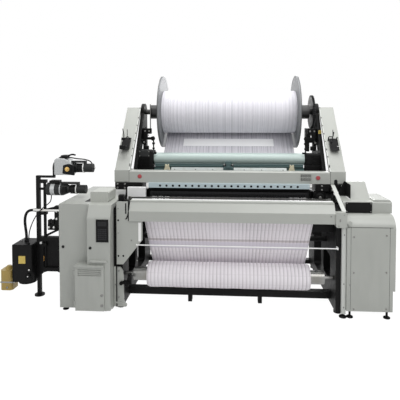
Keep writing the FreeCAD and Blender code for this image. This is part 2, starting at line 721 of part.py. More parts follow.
def roller_end_housings():
    """Drive housing round the guide roller's left shaft and the plain end block at its right."""
    width = dim.frame_inner - dim.roller_reach - dim.end_gap
    housings = []
    for side, reach in ((-1, dim.housing_reach), (1, dim.roller_radius)):
        start = -dim.frame_inner if side < 0 else dim.roller_reach + dim.end_gap
        block = box(start, dim.roller_axis_y - reach, dim.roller_axis_z - reach, width, reach * 2, reach * 2)
        bore = cylinder("X", start, dim.roller_axis_y, dim.roller_axis_z, dim.shaft_radius + dim.fit_gap,
                        width)
        housings.append(cut(rounded(block, dim.block_round, along("x")), bore))
    return group(*housings)


node("roller_housings", roller_end_housings())

tray_top = dim.roller_axis_z - dim.housing_reach
tray_front = dim.roller_axis_y - dim.roller_radius
node("roller_tray", fuse(
    wide_box(dim.frame_inner, tray_front, tray_top - dim.tray_height, dim.tray_depth, dim.tray_height),
    wide_box(dim.frame_inner, tray_front - dim.tray_lip, tray_top - dim.tray_height * 2, dim.tray_lip,
             dim.tray_height * 1.3),
    box(-dim.tray_bracket / 2, tray_front - dim.tray_lip * 2, tray_top - dim.tray_height * 2,
        dim.tray_bracket, dim.tray_lip, dim.tray_height * 2.4)))


# ---------------------------------------------------------------- yarn and cloth sheets

def roll(y, z, radius, side):
    """A roller for a sheet's path, as plain numbers."""
    return (size(y).value, size(z).value, size(radius).value, side)


def point(y, z):
    """A path's free end, where the sheet is held by nothing round."""
    return (size(y).value, size(z).value, -dim.cloth_gap.value, 1)


def sheet_node(label, path, thick, reach):
    """A taut sheet round the given rollers."""
    shape_node(label, sheet_shape(path, dim.cloth_gap.value, thick.value, reach.value))


# The pile warp leaves the front of its roll, passes behind the guide roller and ends at the healds.
sheet_node("pile_warp_sheet", [
    roll(dim.pile_axis_y, dim.pile_axis_z, dim.pile_wound_radius, 1),
    roll(dim.roller_axis_y, dim.roller_axis_z, dim.roller_radius, -1),
    point(dim.shed_back, dim.shed_z + dim.pile_lift),
], dim.warp_thick, dim.pile_sheet_reach)
# The ground warp leaves the back of its beam, goes over the backrest and forward to the healds.
sheet_node("ground_warp_sheet", [
    roll(ground_axis_y, dim.ground_axis_z, dim.ground_wound_radius, 1),
    roll(dim.backrest_y, dim.backrest_z, dim.backrest_radius, 1),
    point(dim.shed_back, dim.shed_z),
], dim.warp_thick, dim.pile_sheet_reach)
# The cloth runs from the fell over the take-up roller and down the front onto its roll.
sheet_node("cloth_sheet", [
    point(dim.fell_y, dim.fell_z),
    roll(dim.takeup_y, dim.takeup_z, dim.takeup_radius, 1),
    roll(dim.cloth_axis_y, dim.cloth_axis_z, dim.cloth_roll_radius, 1),
], dim.cloth_thick, dim.cloth_reach)


# ---------------------------------------------------------------- upper covers

def upright_cover(label, side):
    """Leaning channel of sheet metal in front of a beam stand, open at the back."""
    inner = dim.upright_inner if side > 0 else -dim.upright_inner - dim.upright_width
    wall, depth = dim.cover_wall, dim.upright_depth
    foot_y, foot_z, head_y, head_z = (dim.upright_foot_y, dim.upright_foot_z,
                                      dim.upright_head_y, dim.upright_head_z)
    cover = side_slab(label, inner, dim.upright_width, [
        (foot_y, foot_z), (foot_y + depth, foot_z), (head_y + depth * 0.75, head_z - depth * 0.3),
        (head_y + depth * 0.6, head_z), (head_y, head_z)])
    pocket(cover, polygon(cover, "YZ_Plane", inner + wall, [
        (foot_y + wall * 2, foot_z + wall), (foot_y + depth + wall, foot_z + wall),
        (head_y + depth * 0.75 + wall, head_z - depth * 0.3), (head_y + depth * 0.6 + wall, head_z - wall),
        (head_y + wall, head_z - wall)]), dim.upright_width - wall * 2)
    slot_run = (head_y - foot_y) / dim.slot_count
    slot_rise = (head_z - foot_z) / dim.slot_count
    slot_wall = inner if side > 0 else inner + dim.upright_width - wall
    for step in range(1, int(dim.slot_count.value) - 1, 2):
        y, z = foot_y + slot_run * step + depth * 0.35, foot_z + slot_rise * step
        pocket(cover, polygon(cover, "YZ_Plane", slot_wall, [
            (y, z), (y + depth * 0.3, z), (y + depth * 0.3 + slot_run * 0.9, z + slot_rise * 0.9),
            (y + slot_run * 0.9, z + slot_rise * 0.9)]), wall)
    node(label, cover)


upright_cover("left_upright_cover", -1)
upright_cover("right_upright_cover", 1)


def corner_block(side):
    """Block that carries the foot of an upright cover on the side frame's top."""
    start = dim.block_inner if side > 0 else -dim.block_inner - dim.block_width
    block = box(start, dim.upright_foot_y, dim.frame_top, dim.block_width, dim.block_depth,
                dim.upright_foot_z - dim.frame_top)
    return rounded(block, dim.block_round, lambda edge: along("x")(edge)
                   and edge.Vertexes[0].Y < dim.upright_foot_y.value + 1
                   and edge.Vertexes[0].Z < dim.frame_top.value + 1)


node("corner_blocks", group(corner_block(-1), corner_block(1)))


def cross_cover():
    """Long hollow cover between the corner blocks, its front leaning back a little."""
    front, depth, wall = dim.upright_foot_y, dim.cross_cover_depth, dim.cover_wall
    low, high = dim.cross_cover_low, dim.cross_cover_high
    cover = side_slab("cross_cover", -dim.block_inner, dim.block_inner * 2, [
        (front, low), (front + depth, low), (front + depth, high), (front + wall * 3, high), (front, high - wall * 3)])
    pocket(cover, polygon(cover, "YZ_Plane", -dim.block_inner, [
        (front + wall, low + wall), (front + depth + wall, low + wall), (front + depth + wall, high - wall),
        (front + wall * 3.5, high - wall), (front + wall, high - wall * 3.5)]), dim.block_inner * 2)
    node("cross_cover", cover)


cross_cover()


def perforated_rail():
    """Angle rail under the cross cover with a row of round holes."""
    plate = wide_box(dim.rail_reach, dim.upright_foot_y - dim.rail_set, dim.rail_low, dim.rail_plate,
                     dim.cross_cover_low - dim.rail_low)
    shelf = wide_box(dim.rail_reach, dim.upright_foot_y - dim.rail_set, dim.cross_cover_low - dim.rail_plate,
                     dim.rail_set + dim.cross_cover_depth, dim.rail_plate)
    first = -(dim.rail_holes - 1) * dim.rail_hole_pitch / 2
    middle = (dim.rail_low + dim.cross_cover_low - dim.rail_plate) / 2
    holes = [cylinder("Y", first + dim.rail_hole_pitch * number, dim.upright_foot_y - dim.rail_set - 1, middle,
                      dim.rail_hole_radius, dim.rail_plate + 2)
             for number in range(int(dim.rail_holes.value))]
    return cut(fuse(plate, shelf), *holes)


node("perforated_rail", perforated_rail())


# ---------------------------------------------------------------- breast cover and what hangs near it

def breast_cover():
    """Folded front cover: upright face, slanted fold and top, open below and behind."""
    wall, slant, top = dim.cover_wall, dim.breast_slant, dim.breast_slant + dim.breast_top_depth
    left, width = -dim.breast_left, dim.breast_left + dim.breast_right
    cover = side_slab("breast_cover", left, width, [
        (0, dim.breast_low), (wall, dim.breast_low), (wall, dim.breast_fold - 1),
        (slant + wall, dim.breast_lip), (slant + wall, dim.breast_high - wall),
        (top - wall, dim.breast_high - wall), (top - wall, dim.breast_lip), (top, dim.breast_lip),
        (top, dim.breast_high), (slant, dim.breast_high), (slant, dim.breast_lip + 1), (0, dim.breast_fold)])
    ends = [polygon(cover, "YZ_Plane", start, [
        (0, dim.breast_low), (top, dim.breast_low), (top, dim.breast_high), (slant, dim.breast_high),
        (slant, dim.breast_lip + 1), (0, dim.breast_fold)])
        for start in (left, dim.breast_right - wall)]
    for end in ends:
        pad(cover, end, wall)
    holes = [(dim.takeup_y, dim.takeup_z, dim.shaft_radius + dim.free_gap)]
    pocket(cover, circles(cover, "YZ_Plane", left, holes), width)
    node("breast_cover", cover)


breast_cover()

bracket_width = dim.bracket_reach - dim.breast_right
bracket_body = box(dim.breast_right, -dim.bracket_proud, dim.bracket_low, bracket_width,
                   dim.frame_front + dim.bracket_proud, dim.bracket_high - dim.bracket_low)
knob = cone("Y", dim.bracket_reach + dim.knob_radius + 6, -dim.bracket_proud, dim.bracket_low + dim.knob_radius * 2,
            dim.knob_radius, dim.knob_radius * 0.7, dim.bracket_proud * 0.8)
knob_stem = cylinder("X", dim.bracket_reach - 1, -dim.bracket_proud / 2, dim.bracket_low + dim.knob_radius * 2,
                     dim.knob_radius * 0.35, dim.knob_radius * 1.4)
node("breast_bracket", fuse(rounded(bracket_body, dim.block_round, along("y")), knob, knob_stem))

node("temple_bar", fuse(
    wide_box(dim.temple_reach, dim.temple_y - dim.temple_thick, dim.temple_z, dim.temple_thick,
             dim.temple_height),
    *[box(side * (dim.frame_inner - dim.temple_arm / 2) - dim.temple_arm / 2, dim.temple_y - dim.temple_thick,
          dim.frame_nose_top, dim.temple_arm, dim.temple_thick,
          dim.temple_z + dim.temple_height - dim.frame_nose_top) for side in (-1, 1)],
    wide_box(dim.frame_inner, dim.temple_y - dim.temple_thick, dim.temple_z + dim.temple_height * 0.25,
             dim.temple_thick, dim.temple_height * 0.5)))

rod_end = dim.frame_inner + dim.rod_radius
rod_left = -dim.shield_right - dim.rod_overlap
shield_front = dim.frame_front - dim.shield_stand - dim.cover_wall
node("guard_rod", fuse(
    cylinder("X", rod_left, dim.rod_y, dim.rod_z, dim.rod_radius, rod_end - rod_left),
    box(rod_left, dim.rod_y, dim.rod_z - dim.rod_radius, dim.rod_radius * 2, shield_front - dim.rod_y,
        dim.rod_radius * 2),
    box(rod_end - dim.rod_radius, dim.rod_y - dim.rod_radius, dim.rod_z - dim.rod_radius * 2,
        dim.rod_radius * 2, dim.frame_front - dim.rod_y + dim.rod_radius, dim.rod_radius * 4)))


def inner_shield():
    """Flat guard at the left front with its lower corner cut off aslant."""
    shield = front_slab("inner_shield", shield_front, dim.cover_wall, [
        (-dim.shield_left, dim.shield_low), (-dim.shield_foot, dim.shield_low),
        (-dim.shield_right, dim.shield_corner), (-dim.shield_right, dim.breast_low - dim.free_gap * 10),
        (-dim.shield_neck, dim.breast_low - dim.free_gap * 10), (-dim.shield_neck, dim.breast_high),
        (-dim.shield_left, dim.breast_high)])
    pocket(shield, polygon(shield, "XZ_Plane", -shield_front, [
        (-dim.shield_neck - dim.shield_slot * 2, dim.breast_fold - dim.shield_slot * 2),
        (-dim.shield_neck - dim.shield_slot, dim.breast_fold - dim.shield_slot * 2),
        (-dim.shield_neck - dim.shield_slot, dim.breast_lip),
        (-dim.shield_neck - dim.shield_slot * 2, dim.breast_lip)]), dim.cover_wall, backwards=False)
    for height in (dim.shield_low + dim.frame_rail / 2, dim.breast_fold):
        pad(shield, circles(shield, "XZ_Plane", -dim.frame_front, [
            (-dim.shield_left + dim.shield_slot, height, dim.shield_slot / 2)]),
            dim.shield_stand + dim.cover_wall / 2)
    node("inner_shield", shield)


inner_shield()


# ---------------------------------------------------------------- cabinets

def left_cabinet():
    """Deep hollow housing of the left drive, with a bulged module at its front right."""
    left, right, split = -dim.cabinet_left, -dim.frame_outer, -dim.cabinet_split
    wall, low, roof, depth = dim.cabinet_wall, dim.cabinet_low, dim.cabinet_roof, dim.cabinet_depth
    cabinet = front_slab("left_cabinet", 0, depth, [(left, low), (right, low), (right, roof), (left, roof)])
    pad(cabinet, polygon(cabinet, "YZ_Plane", split, [
        (wall, dim.bulge_low), (wall, roof), (-bulge_reach * 0.3, roof),
        (-bulge_reach, roof - dim.bulge_round), (-bulge_reach, dim.bulge_low)]), right - split)
    round_corners(cabinet, dim.bulge_round * 0.6, lambda edge: along("x")(edge)
                  and edge.Vertexes[0].Y < -bulge_reach.value + 1
                  and edge.Vertexes[0].Z > (roof - dim.bulge_round * 2).value)
    pocket(cabinet, polygon(cabinet, "XZ_Plane", -wall, [
        (left + wall, low + wall), (right - wall, low + wall), (right - wall, roof - wall),
        (left + wall, roof - wall)]), depth - wall * 2, backwards=False)
    slot = dim.rapier_head_depth
    pocket(cabinet, polygon(cabinet, "YZ_Plane", right - wall * 2, [
        (dim.rapier_y - slot, dim.rapier_z - slot), (dim.rapier_y + slot, dim.rapier_z - slot),
        (dim.rapier_y + slot, roof - wall), (dim.rapier_y - slot, roof - wall)]), wall * 3)
    pad(cabinet, polygon(cabinet, "XZ_Plane", 0, [
        (-dim.door_left, dim.door_low), (split, dim.door_low), (split, dim.door_top),
        (-dim.door_left, dim.door_top)]), bulge_reach)
    hinge_x = -dim.door_left - dim.door_thick / 2
    hinge_y = -bulge_reach - dim.free_gap - dim.door_thick / 2
    ear, drop, root = dim.pin_radius * 1.5, dim.pin_radius * 2, 1 - dim.door_left
    for height in hinge_heights:
        pad(cabinet, polygon(cabinet, "XY_Plane", height - drop - dim.free_gap, [
            (hinge_x - ear, hinge_y - ear), (hinge_x + ear, hinge_y - ear), (hinge_x + ear, -bulge_reach),
            (root, -bulge_reach), (root, drop - bulge_reach), (hinge_x - ear, drop - bulge_reach)]), drop)
        pad(cabinet, circles(cabinet, "XY_Plane", height - drop, [(hinge_x, hinge_y, dim.pin_radius)]),
            dim.knuckle_length * 0.8)
    node("left_cabinet", cabinet)


hinge_heights = (dim.hinge_low, dim.hinge_high)
left_cabinet()


def cabinet_door():
    """Lower door with a rain lip at its top and two knuckles that turn on fixed pins."""
    face = -bulge_reach - dim.door_thick - dim.free_gap
    door = front_slab("cabinet_door", face, dim.door_thick, [
        (-dim.door_left, dim.door_low), (-dim.door_right, dim.door_low),
        (-dim.door_right, dim.door_top), (-dim.door_left, dim.door_top)])
    pad(door, polygon(door, "XZ_Plane", -face, [
        (-dim.door_left, dim.door_top - dim.door_thick), (-dim.door_right, dim.door_top - dim.door_thick),
        (-dim.door_right, dim.door_top), (-dim.door_left, dim.door_top)]), dim.door_thick)
    rib = dim.door_rib
    for number in range(int(dim.door_ribs.value)):
        low = dim.door_top - dim.door_thick * 2 - rib * 2 * (number + 1)
        pocket(door, polygon(door, "XZ_Plane", -face, [
            (-dim.door_left + rib * 3, low), (-dim.door_right - rib * 3, low),
            (-dim.door_right - rib * 3, low + rib), (-dim.door_left + rib * 3, low + rib)]),
            dim.door_thick / 2, backwards=False)
    knuckle = dim.door_thick / 2
    hinge = (-dim.door_left - knuckle, face + knuckle)
    for low in hinge_heights:
        pad(door, polygon(door, "XY_Plane", low, [
            (-dim.door_left - knuckle, face + knuckle / 2), (-dim.door_left + 1, face + knuckle / 2),
            (-dim.door_left + 1, face + knuckle * 1.5), (-dim.door_left - knuckle, face + knuckle * 1.5)]),
            dim.knuckle_length)
        pad(door, circles(door, "XY_Plane", low, [(*hinge, knuckle)]), dim.knuckle_length)
        pocket(door, circles(door, "XY_Plane", low, [(*hinge, dim.pin_radius + dim.fit_gap)]),
               dim.knuckle_length)
    node("cabinet_door", door)


cabinet_door()

plate_left = -dim.cabinet_split + dim.plate_inset
node("control_plate", box(plate_left, -bulge_reach - dim.cover_wall, dim.plate_low, dim.plate_width,
                          dim.cover_wall, dim.plate_height))
roof_box = rounded(
    box(-dim.roof_box_left, dim.roof_box_front, dim.cabinet_roof, dim.roof_box_width, dim.roof_box_depth,
        dim.roof_box_height), dim.block_round, along("y"))
node("junction_boxes", group(roof_box, fuse(
    box(-dim.junction_left, dim.junction_front, dim.junction_low, dim.junction_width, dim.junction_depth,
        dim.junction_height),
    box(-dim.junction_left, dim.junction_front, dim.frame_nose_top, dim.junction_leg, dim.junction_depth,
        dim.junction_low - dim.frame_nose_top))))


def right_cabinet():
    """Cabinet of the right drive: rounded front top and a narrower foot at its outer side."""
    left, right = dim.frame_outer, dim.right_cabinet_side
    low, high, foot = dim.right_cabinet_low, dim.right_cabinet_high, dim.notch_high
    cabinet = front_slab("right_cabinet", 0, dim.right_cabinet_depth, [
        (left, low), (right - dim.notch_width, low), (right - dim.notch_width, foot), (right, foot),
        (right, high), (left, high)])
    round_corners(cabinet, dim.right_cabinet_round, lambda edge: along("x")(edge)
                  and edge.Vertexes[0].Y < 1 and edge.Vertexes[0].Z > high.value - 1)
    node("right_cabinet", cabinet)


right_cabinet()


def rapier_housing():
    """Hollow box on the right cabinet, open at its inner end where the rapier passes."""
    start, low = dim.frame_outer, dim.right_cabinet_high
    length, height = dim.right_reach - start, dim.housing_high - low
    wall = dim.cabinet_wall
    outer = rounded(box(start, dim.housing_front, low, length, dim.housing_depth, height),
                    dim.block_round, lambda edge: along("x")(edge) and edge.Vertexes[0].Z > low.value + 1)
    return cut(outer, box(start - 1, dim.housing_front + wall, low + wall, length - wall + 1,
                          dim.housing_depth - wall * 2, height - wall * 2))


node("rapier_housing", rapier_housing())

node("operator_terminal", side_slab("operator_terminal", dim.terminal_left, dim.terminal_width, [
    (dim.terminal_front, dim.housing_high), (dim.terminal_front + dim.terminal_thick, dim.housing_high),
    (dim.terminal_front + dim.terminal_thick + dim.terminal_run, dim.housing_high + dim.terminal_rise),
    (dim.terminal_front + dim.terminal_run, dim.housing_high + dim.terminal_rise)]))


# ---------------------------------------------------------------- sley, reed, healds and rapiers

def sley():
    """Rocking shaft with three swords that carry the batten."""
    axis_y, axis_z, top = dim.sley_axis_y, dim.sley_axis_z, dim.reed_low
    half = dim.batten_depth / 2
    batten = wide_box(dim.reed_reach, dim.reed_y - half, dim.batten_low, dim.batten_depth, top - dim.batten_low)
    groove = wide_box(dim.reed_reach + 1, dim.reed_y - dim.reed_thick / 2, top - dim.reed_seat, dim.reed_thick,
                      dim.reed_seat + 1)
    shaft = wide_cylinder(shaft_end, axis_y, axis_z, dim.sley_shaft_radius)
    swords = [sword(x) for x in (-dim.sword_x, size(0), dim.sword_x)]
    return fuse(cut(batten, groove), shaft, *swords)


def sword(x):
    """One tapered arm from the rocking shaft to the batten."""
    arm = body("Sword")
    start = x - dim.sword_thick / 2
    foot = dim.sley_shaft_radius * 1.5
    pad(arm, polygon(arm, "YZ_Plane", start, [
        (dim.sley_axis_y - foot, dim.sley_axis_z), (dim.sley_axis_y + foot, dim.sley_axis_z),
        (dim.reed_y + dim.batten_depth / 2, dim.batten_low + 1),
        (dim.reed_y - dim.batten_depth / 4, dim.batten_low + 1)]), dim.sword_thick)
    pad(arm, circles(arm, "YZ_Plane", start, [(dim.sley_axis_y, dim.sley_axis_z, foot)]), dim.sword_thick)
    return arm


node("sley", sley())


def slotted_plate(label, y, thick, low, high, reach, rail, stay, gaps, share):
    """A frame whose wall between its rails is a row of upright bars with gaps."""
    plate = front_slab(label, y - thick / 2, thick, [(-reach, low), (reach, low), (reach, high), (-reach, high)])
    pitch = (reach - stay) * 2 / gaps
    first = -reach + stay + pitch * (1 - share) / 2
    slot = pocket(plate, polygon(plate, "XZ_Plane", -(y - thick / 2), [
        (first, low + rail), (first + pitch * share, low + rail),
        (first + pitch * share, high - rail), (first, high - rail)]), thick, backwards=False)
    row = plate.newObject("PartDesign::LinearPattern", "Row")
    row.Originals = [slot]
    row.Direction = (slot.Profile[0], ["H_Axis"])
    row.setExpression("Length", (pitch * (gaps - 1)).text)
    row.setExpression("Occurrences", gaps.text)
    plate.Tip = row
    return plate


node("reed", slotted_plate("reed", dim.reed_y, dim.reed_thick, dim.reed_low - dim.reed_seat, dim.reed_high,
                           dim.reed_reach, dim.reed_rail, dim.reed_rail, dim.reed_dents, 0.55))
for number in range(3):
    label = f"heald_frame_{number + 1}"
    place = dim.heald_first_y + dim.heald_pitch * number
    node(label, slotted_plate(label, place, dim.heald_thick, dim.heald_low, dim.heald_high, dim.heald_reach,
                              dim.heald_rail, dim.heald_stay, dim.heald_gaps, 0.86))


def heald_guide(side):
    """Guide block on a side frame, with one upright slot for each heald frame."""
    start = dim.heald_reach - dim.guide_depth
    width = dim.frame_inner - start
    near = dim.heald_first_y - dim.heald_pitch / 2
    block = box(start if side > 0 else -dim.frame_inner, near, dim.guide_low, width, dim.heald_pitch * 3,
                dim.guide_high - dim.guide_low)
    slots = []
    for number in range(3):
        y = dim.heald_first_y + dim.heald_pitch * number - dim.heald_thick / 2 - dim.free_gap
        x = start - 1 if side > 0 else -dim.heald_reach - dim.free_gap
        slots.append(box(x, y, dim.guide_low - 1, dim.guide_depth + dim.free_gap + 1,
                         dim.heald_thick + dim.free_gap * 2, dim.guide_high - dim.guide_low + 2))
    return cut(block, *slots)


node("heald_guides", group(heald_guide(-1), heald_guide(1)))


def rapier(side):
    """Flat tape with its gripper head, drawn back out of the shed."""
    tape_start = dim.rapier_inner if side > 0 else -dim.rapier_outer
    head_start = dim.rapier_inner if side > 0 else -dim.rapier_inner - dim.rapier_head
    tip = cone("X", dim.rapier_inner, dim.rapier_y, dim.rapier_z, dim.rapier_height / 3,
               dim.rapier_head_depth / 2, dim.rapier_head / 2)
    if side < 0:
        tip = cone("X", -dim.rapier_inner - dim.rapier_head / 2, dim.rapier_y, dim.rapier_z,
                   dim.rapier_head_depth / 2, dim.rapier_height / 3, dim.rapier_head / 2)
    head_middle = head_start + (dim.rapier_head / 2 if side > 0 else size(0))
    return fuse(
        box(tape_start, dim.rapier_y - dim.rapier_thick / 2, dim.rapier_z - dim.rapier_height / 2,
            dim.rapier_outer - dim.rapier_inner, dim.rapier_thick, dim.rapier_height),
        cylinder("X", head_middle, dim.rapier_y, dim.rapier_z, dim.rapier_head_depth / 2, dim.rapier_head / 2),
        tip)


node("left_rapier", rapier(-1))
node("right_rapier", rapier(1))


# ---------------------------------------------------------------- switch boxes on the covers

def switch_box(side):
    """Box on the slanted cover with an upright wire over it."""
    slope = (dim.upright_head_y - dim.upright_foot_y) / (dim.upright_head_z - dim.upright_foot_z)
    low, high, deep = dim.switch_low, dim.switch_high, dim.switch_depth
    near = dim.upright_foot_y + (low - dim.upright_foot_z) * slope
    far = dim.upright_foot_y + (high - dim.upright_foot_z) * slope
    middle = dim.upright_inner + dim.upright_width / 2
    start = (middle if side > 0 else -middle) - dim.switch_width / 2
    case = side_slab("Case", start, dim.switch_width, [
        (near - deep, low), (near, low), (far, high), (far - deep, high)])
    wire = cylinder("Z", start + dim.switch_width / 2, far - deep / 2, high - 1, dim.switch_wire, dim.switch_rise)
    return fuse(case, wire)


node("switch_boxes", group(switch_box(-1), switch_box(1)))


# ---------------------------------------------------------------- feeder stand on the left

post_left, post_front = -dim.post_x - dim.post_size / 2, dim.post_y - dim.post_size / 2
arm_half = dim.arm_size / 2
arm_front = dim.post_y - arm_half
node("feeder_stand", fuse(
    box(post_left, post_front, 0, dim.post_size, dim.post_size, dim.post_top),
    cylinder("Z", -dim.post_x, dim.post_y, 0, dim.foot_radius * 1.3, dim.foot_height * 0.7),
    box(-dim.post_x, arm_front, dim.post_top - dim.arm_size, dim.post_x - dim.upper_feeder_x,
        dim.arm_size, dim.arm_size),
    box(-dim.upper_feeder_x - dim.arm_size, arm_front, dim.post_top - dim.arm_size, dim.arm_size,
        dim.arm_size, dim.upper_feeder_z + arm_half - dim.post_top + dim.arm_size),
    box(-dim.post_x, arm_front, dim.lower_feeder_z - arm_half, dim.post_x - dim.lower_feeder_x,
        dim.arm_size, dim.arm_size)))


def feeder(start, height):
    """Yarn feeder: round housing with a tapered nose, side arm, motor, and a pin for the drum."""
    radius, drum, length = dim.feeder_radius, dim.drum_radius, dim.feeder_length
    drum_start = start + length
    end = drum_start + dim.drum_width + dim.end_gap * 2
    housing = cylinder("X", start, dim.post_y, height, radius, length * 0.7)
    nose = cone("X", start + length * 0.7, dim.post_y, height, radius, drum * 0.8, length * 0.3)
    side_arm = box(start + length * 0.3, dim.post_y - drum / 2, height + drum + dim.end_gap,
                   end - start - length * 0.3 + dim.end_gap * 3, drum, radius - drum)
    motor = cylinder("X", end, dim.post_y, height, drum * 0.95, dim.motor_cap)
    strap = box(end, dim.post_y - drum / 2, height, dim.end_gap * 3, drum, radius + dim.end_gap)
    pin = cylinder("X", drum_start - 1, dim.post_y, height, dim.pin_radius * 2, end - drum_start + 2)
    return fuse(housing, nose, side_arm, motor, strap, pin)


def feeder_drum(start, height):
    """Drum with raised ribs round it that turns on the feeder's pin."""
    ribs = int(dim.drum_ribs.value)
    radius, first = dim.drum_radius, start + dim.feeder_length + dim.end_gap
    barrel = cylinder("X", first, dim.post_y, height, radius * 0.86, dim.drum_width)
    bars = []
    for rib in range(ribs):
        angle = 2 * math.pi * rib / ribs
        bars.append(cylinder("X", first, dim.post_y + radius * 0.86 * math.cos(angle),
                             height + radius * 0.86 * math.sin(angle), radius * 0.14, dim.drum_width))
    bore = cylinder("X", first - 1, dim.post_y, height, dim.pin_radius * 2 + dim.fit_gap, dim.drum_width + 2)
    return cut(fuse(barrel, *bars), bore)


for level, start, height in (("upper", -dim.upper_feeder_x, dim.upper_feeder_z),
                             ("lower", -dim.lower_feeder_x, dim.lower_feeder_z)):
    node(f"{level}_feeder", feeder(start, height))
    node(f"{level}_feeder_drum", feeder_drum(start, height))

valve_left = -dim.post_x - dim.post_size / 2 - dim.valve_width
bulge_radius = dim.valve_width * 0.42
node("valve_box", fuse(
    rounded(box(valve_left, dim.post_y - dim.valve_depth / 2, dim.valve_low, dim.valve_width, dim.valve_depth,
                dim.valve_high - dim.valve_low), dim.block_round, along("z")),
    cylinder("Z", valve_left + dim.valve_width / 2, dim.post_y, dim.valve_low - dim.foot_radius, bulge_radius,
             dim.foot_radius)))

tank_left, tank_round = -dim.left_reach, dim.tank_width / 2
tank_base = box(tank_left, dim.post_y - dim.tank_depth / 2, dim.tank_low, dim.tank_width, dim.tank_depth,
                dim.tank_high - dim.tank_low)
tank_hanger = box(tank_left + dim.tank_width, dim.post_y - dim.tank_depth / 4, dim.tank_high - dim.tank_depth / 2,
                  valve_left - tank_left - dim.tank_width, dim.tank_depth / 2, dim.post_size)
tank_neck = cone("Z", tank_left + tank_round, dim.post_y, dim.tank_high - 1, tank_round * 0.7, tank_round * 0.35,
                 dim.foot_radius * 0.8)
node("oil_tank", fuse(rounded(tank_base, tank_round * 0.5, along("z")), tank_neck, tank_hanger))


def side_casting():
    """Black casting between the post and the left cabinet, its underside an arch between feet."""
    left, right, high = -dim.post_x + dim.post_size / 2, -dim.cabinet_left, dim.casting_high
    foot, arch = dim.casting_foot, dim.casting_arch
    casting = front_slab("side_casting", dim.post_y - dim.casting_thick / 2, dim.casting_thick, [
        (left, high), (left, arch - foot), (left + foot, arch - foot / 3), (left + foot * 2, arch),
        (right - foot * 4, arch), (right - foot * 3, arch - foot / 2), (right - foot * 3, 0),
        (right - foot * 1.8, 0), (right - foot * 1.2, arch - foot), (right, arch), (right, high - foot),
        (right - foot, high)])
    window = [(left + foot, arch + foot), (right - foot * 2, arch + foot),
              (right - foot * 2, high - foot), (left + foot, high - foot)]
    pocket(casting, polygon(casting, "XZ_Plane", -(dim.post_y - dim.casting_thick / 2), window),
           dim.casting_thick / 2, backwards=False)
    node("side_casting", casting)


side_casting()

pipe_y, pipe_left = post_front - dim.pipe_radius, -dim.post_x - dim.post_size
node("feed_pipe", cylinder("X", pipe_left, pipe_y, dim.pipe_z, dim.pipe_radius, -dim.cabinet_left - pipe_left))

# The hose runs from the pipe's end down to the valve box; the thin cable rises to the lower feeder.
HOSE_POINTS = [
    (-2312, 361, 1040), (-2358, 361, 1040), (-2402, 367, 1010), (-2428, 380, 958), (-2440, 392, 892),
    (-2436, 399, 815), (-2425, 400, 735), (-2425, 400, 640)]
CABLE_POINTS = [
    (-2350, 300, 640), (-2350, 300, 705), (-2343, 302, 790), (-2320, 309, 872), (-2286, 318, 950),
    (-2240, 328, 1020), (-2192, 348, 1076), (-2142, 374, 1112), (-2112, 400, 1150), (-2112, 400, 1213.7)]
shape_node("suction_hose", tube_shape(HOSE_POINTS, dim.hose_radius.value, "suction_hose"))
shape_node("signal_cable", tube_shape(CABLE_POINTS, dim.cable_radius.value, "signal_cable"))


# ---------------------------------------------------------------- checks and files

doc.recompute()
failed = [item.Label for item in doc.Objects if {"Invalid", "Error"} & set(item.State)]
if failed:
    raise RuntimeError(f"failed objects: {failed}")
broken = [item.Label for item in nodes
          if item.Shape.isNull() or not item.Shape.isValid() or item.Shape.Volume <= 0]
if broken:
    raise RuntimeError(f"no valid solid: {broken}")

os.makedirs("parts", exist_ok=True)
for item in nodes:
    item.Shape.exportStep(f"parts/{item.Label}.step")
print(f"{len(nodes)} sub-parts written")
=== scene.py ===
"""Power loom with its pile beam on top: finishes, yarn, cloth, cords and fittings over the CAD frame.

Sizes are metres in the loom's own frame: x from its centre line, y back from the breast cover's
front face, z up from the floor. SHIFT carries them into the frame of the CAD model.
"""

import logging
import math
from collections.abc import Callable, Sequence
from dataclasses import dataclass, field

import bpy
import numpy as np
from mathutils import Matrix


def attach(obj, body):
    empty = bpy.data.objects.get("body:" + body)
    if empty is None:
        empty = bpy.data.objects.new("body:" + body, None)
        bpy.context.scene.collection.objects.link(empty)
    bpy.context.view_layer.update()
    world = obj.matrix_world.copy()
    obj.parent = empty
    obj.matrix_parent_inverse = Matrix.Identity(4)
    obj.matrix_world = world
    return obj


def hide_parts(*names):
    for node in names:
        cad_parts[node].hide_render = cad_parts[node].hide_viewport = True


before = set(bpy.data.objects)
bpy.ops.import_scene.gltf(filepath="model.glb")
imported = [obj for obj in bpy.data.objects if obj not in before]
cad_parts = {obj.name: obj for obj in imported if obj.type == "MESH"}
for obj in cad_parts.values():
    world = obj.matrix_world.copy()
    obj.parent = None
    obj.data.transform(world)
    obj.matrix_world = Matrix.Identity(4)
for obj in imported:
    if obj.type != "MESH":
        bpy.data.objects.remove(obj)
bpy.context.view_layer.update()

LOG = logging.getLogger("loom")
SHIFT = np.array((0.4675, -0.885, 0.0))
Array = np.ndarray
Piece = bpy.types.Object
Socket = bpy.types.NodeSocket
Pair = tuple[float, float]
Spot = tuple[float, float]
Point = tuple[float, float, float]
Colour = tuple[int, int, int]
Linear = tuple[float, float, float, float]
RIGHT, LEFT = (1.0, 0.0, 0.0), (-1.0, 0.0, 0.0)
BACK, FRONT = (0.0, 1.0, 0.0), (0.0, -1.0, 0.0)
UP, DOWN = (0.0, 0.0, 1.0), (0.0, 0.0, -1.0)
SIDES = {-1: "left", 1: "right"}
WHITE_LIGHT = (1.0, 1.0, 1.0, 1.0)
LINES_ROUND_X = (1.0, 0.03, 0.03)  # stretch of noise into fine lines round an axis along X
TURNED_CREASE, ROUND_CREASE = 34.0, 50.0  # degrees between faces from which an edge stays sharp
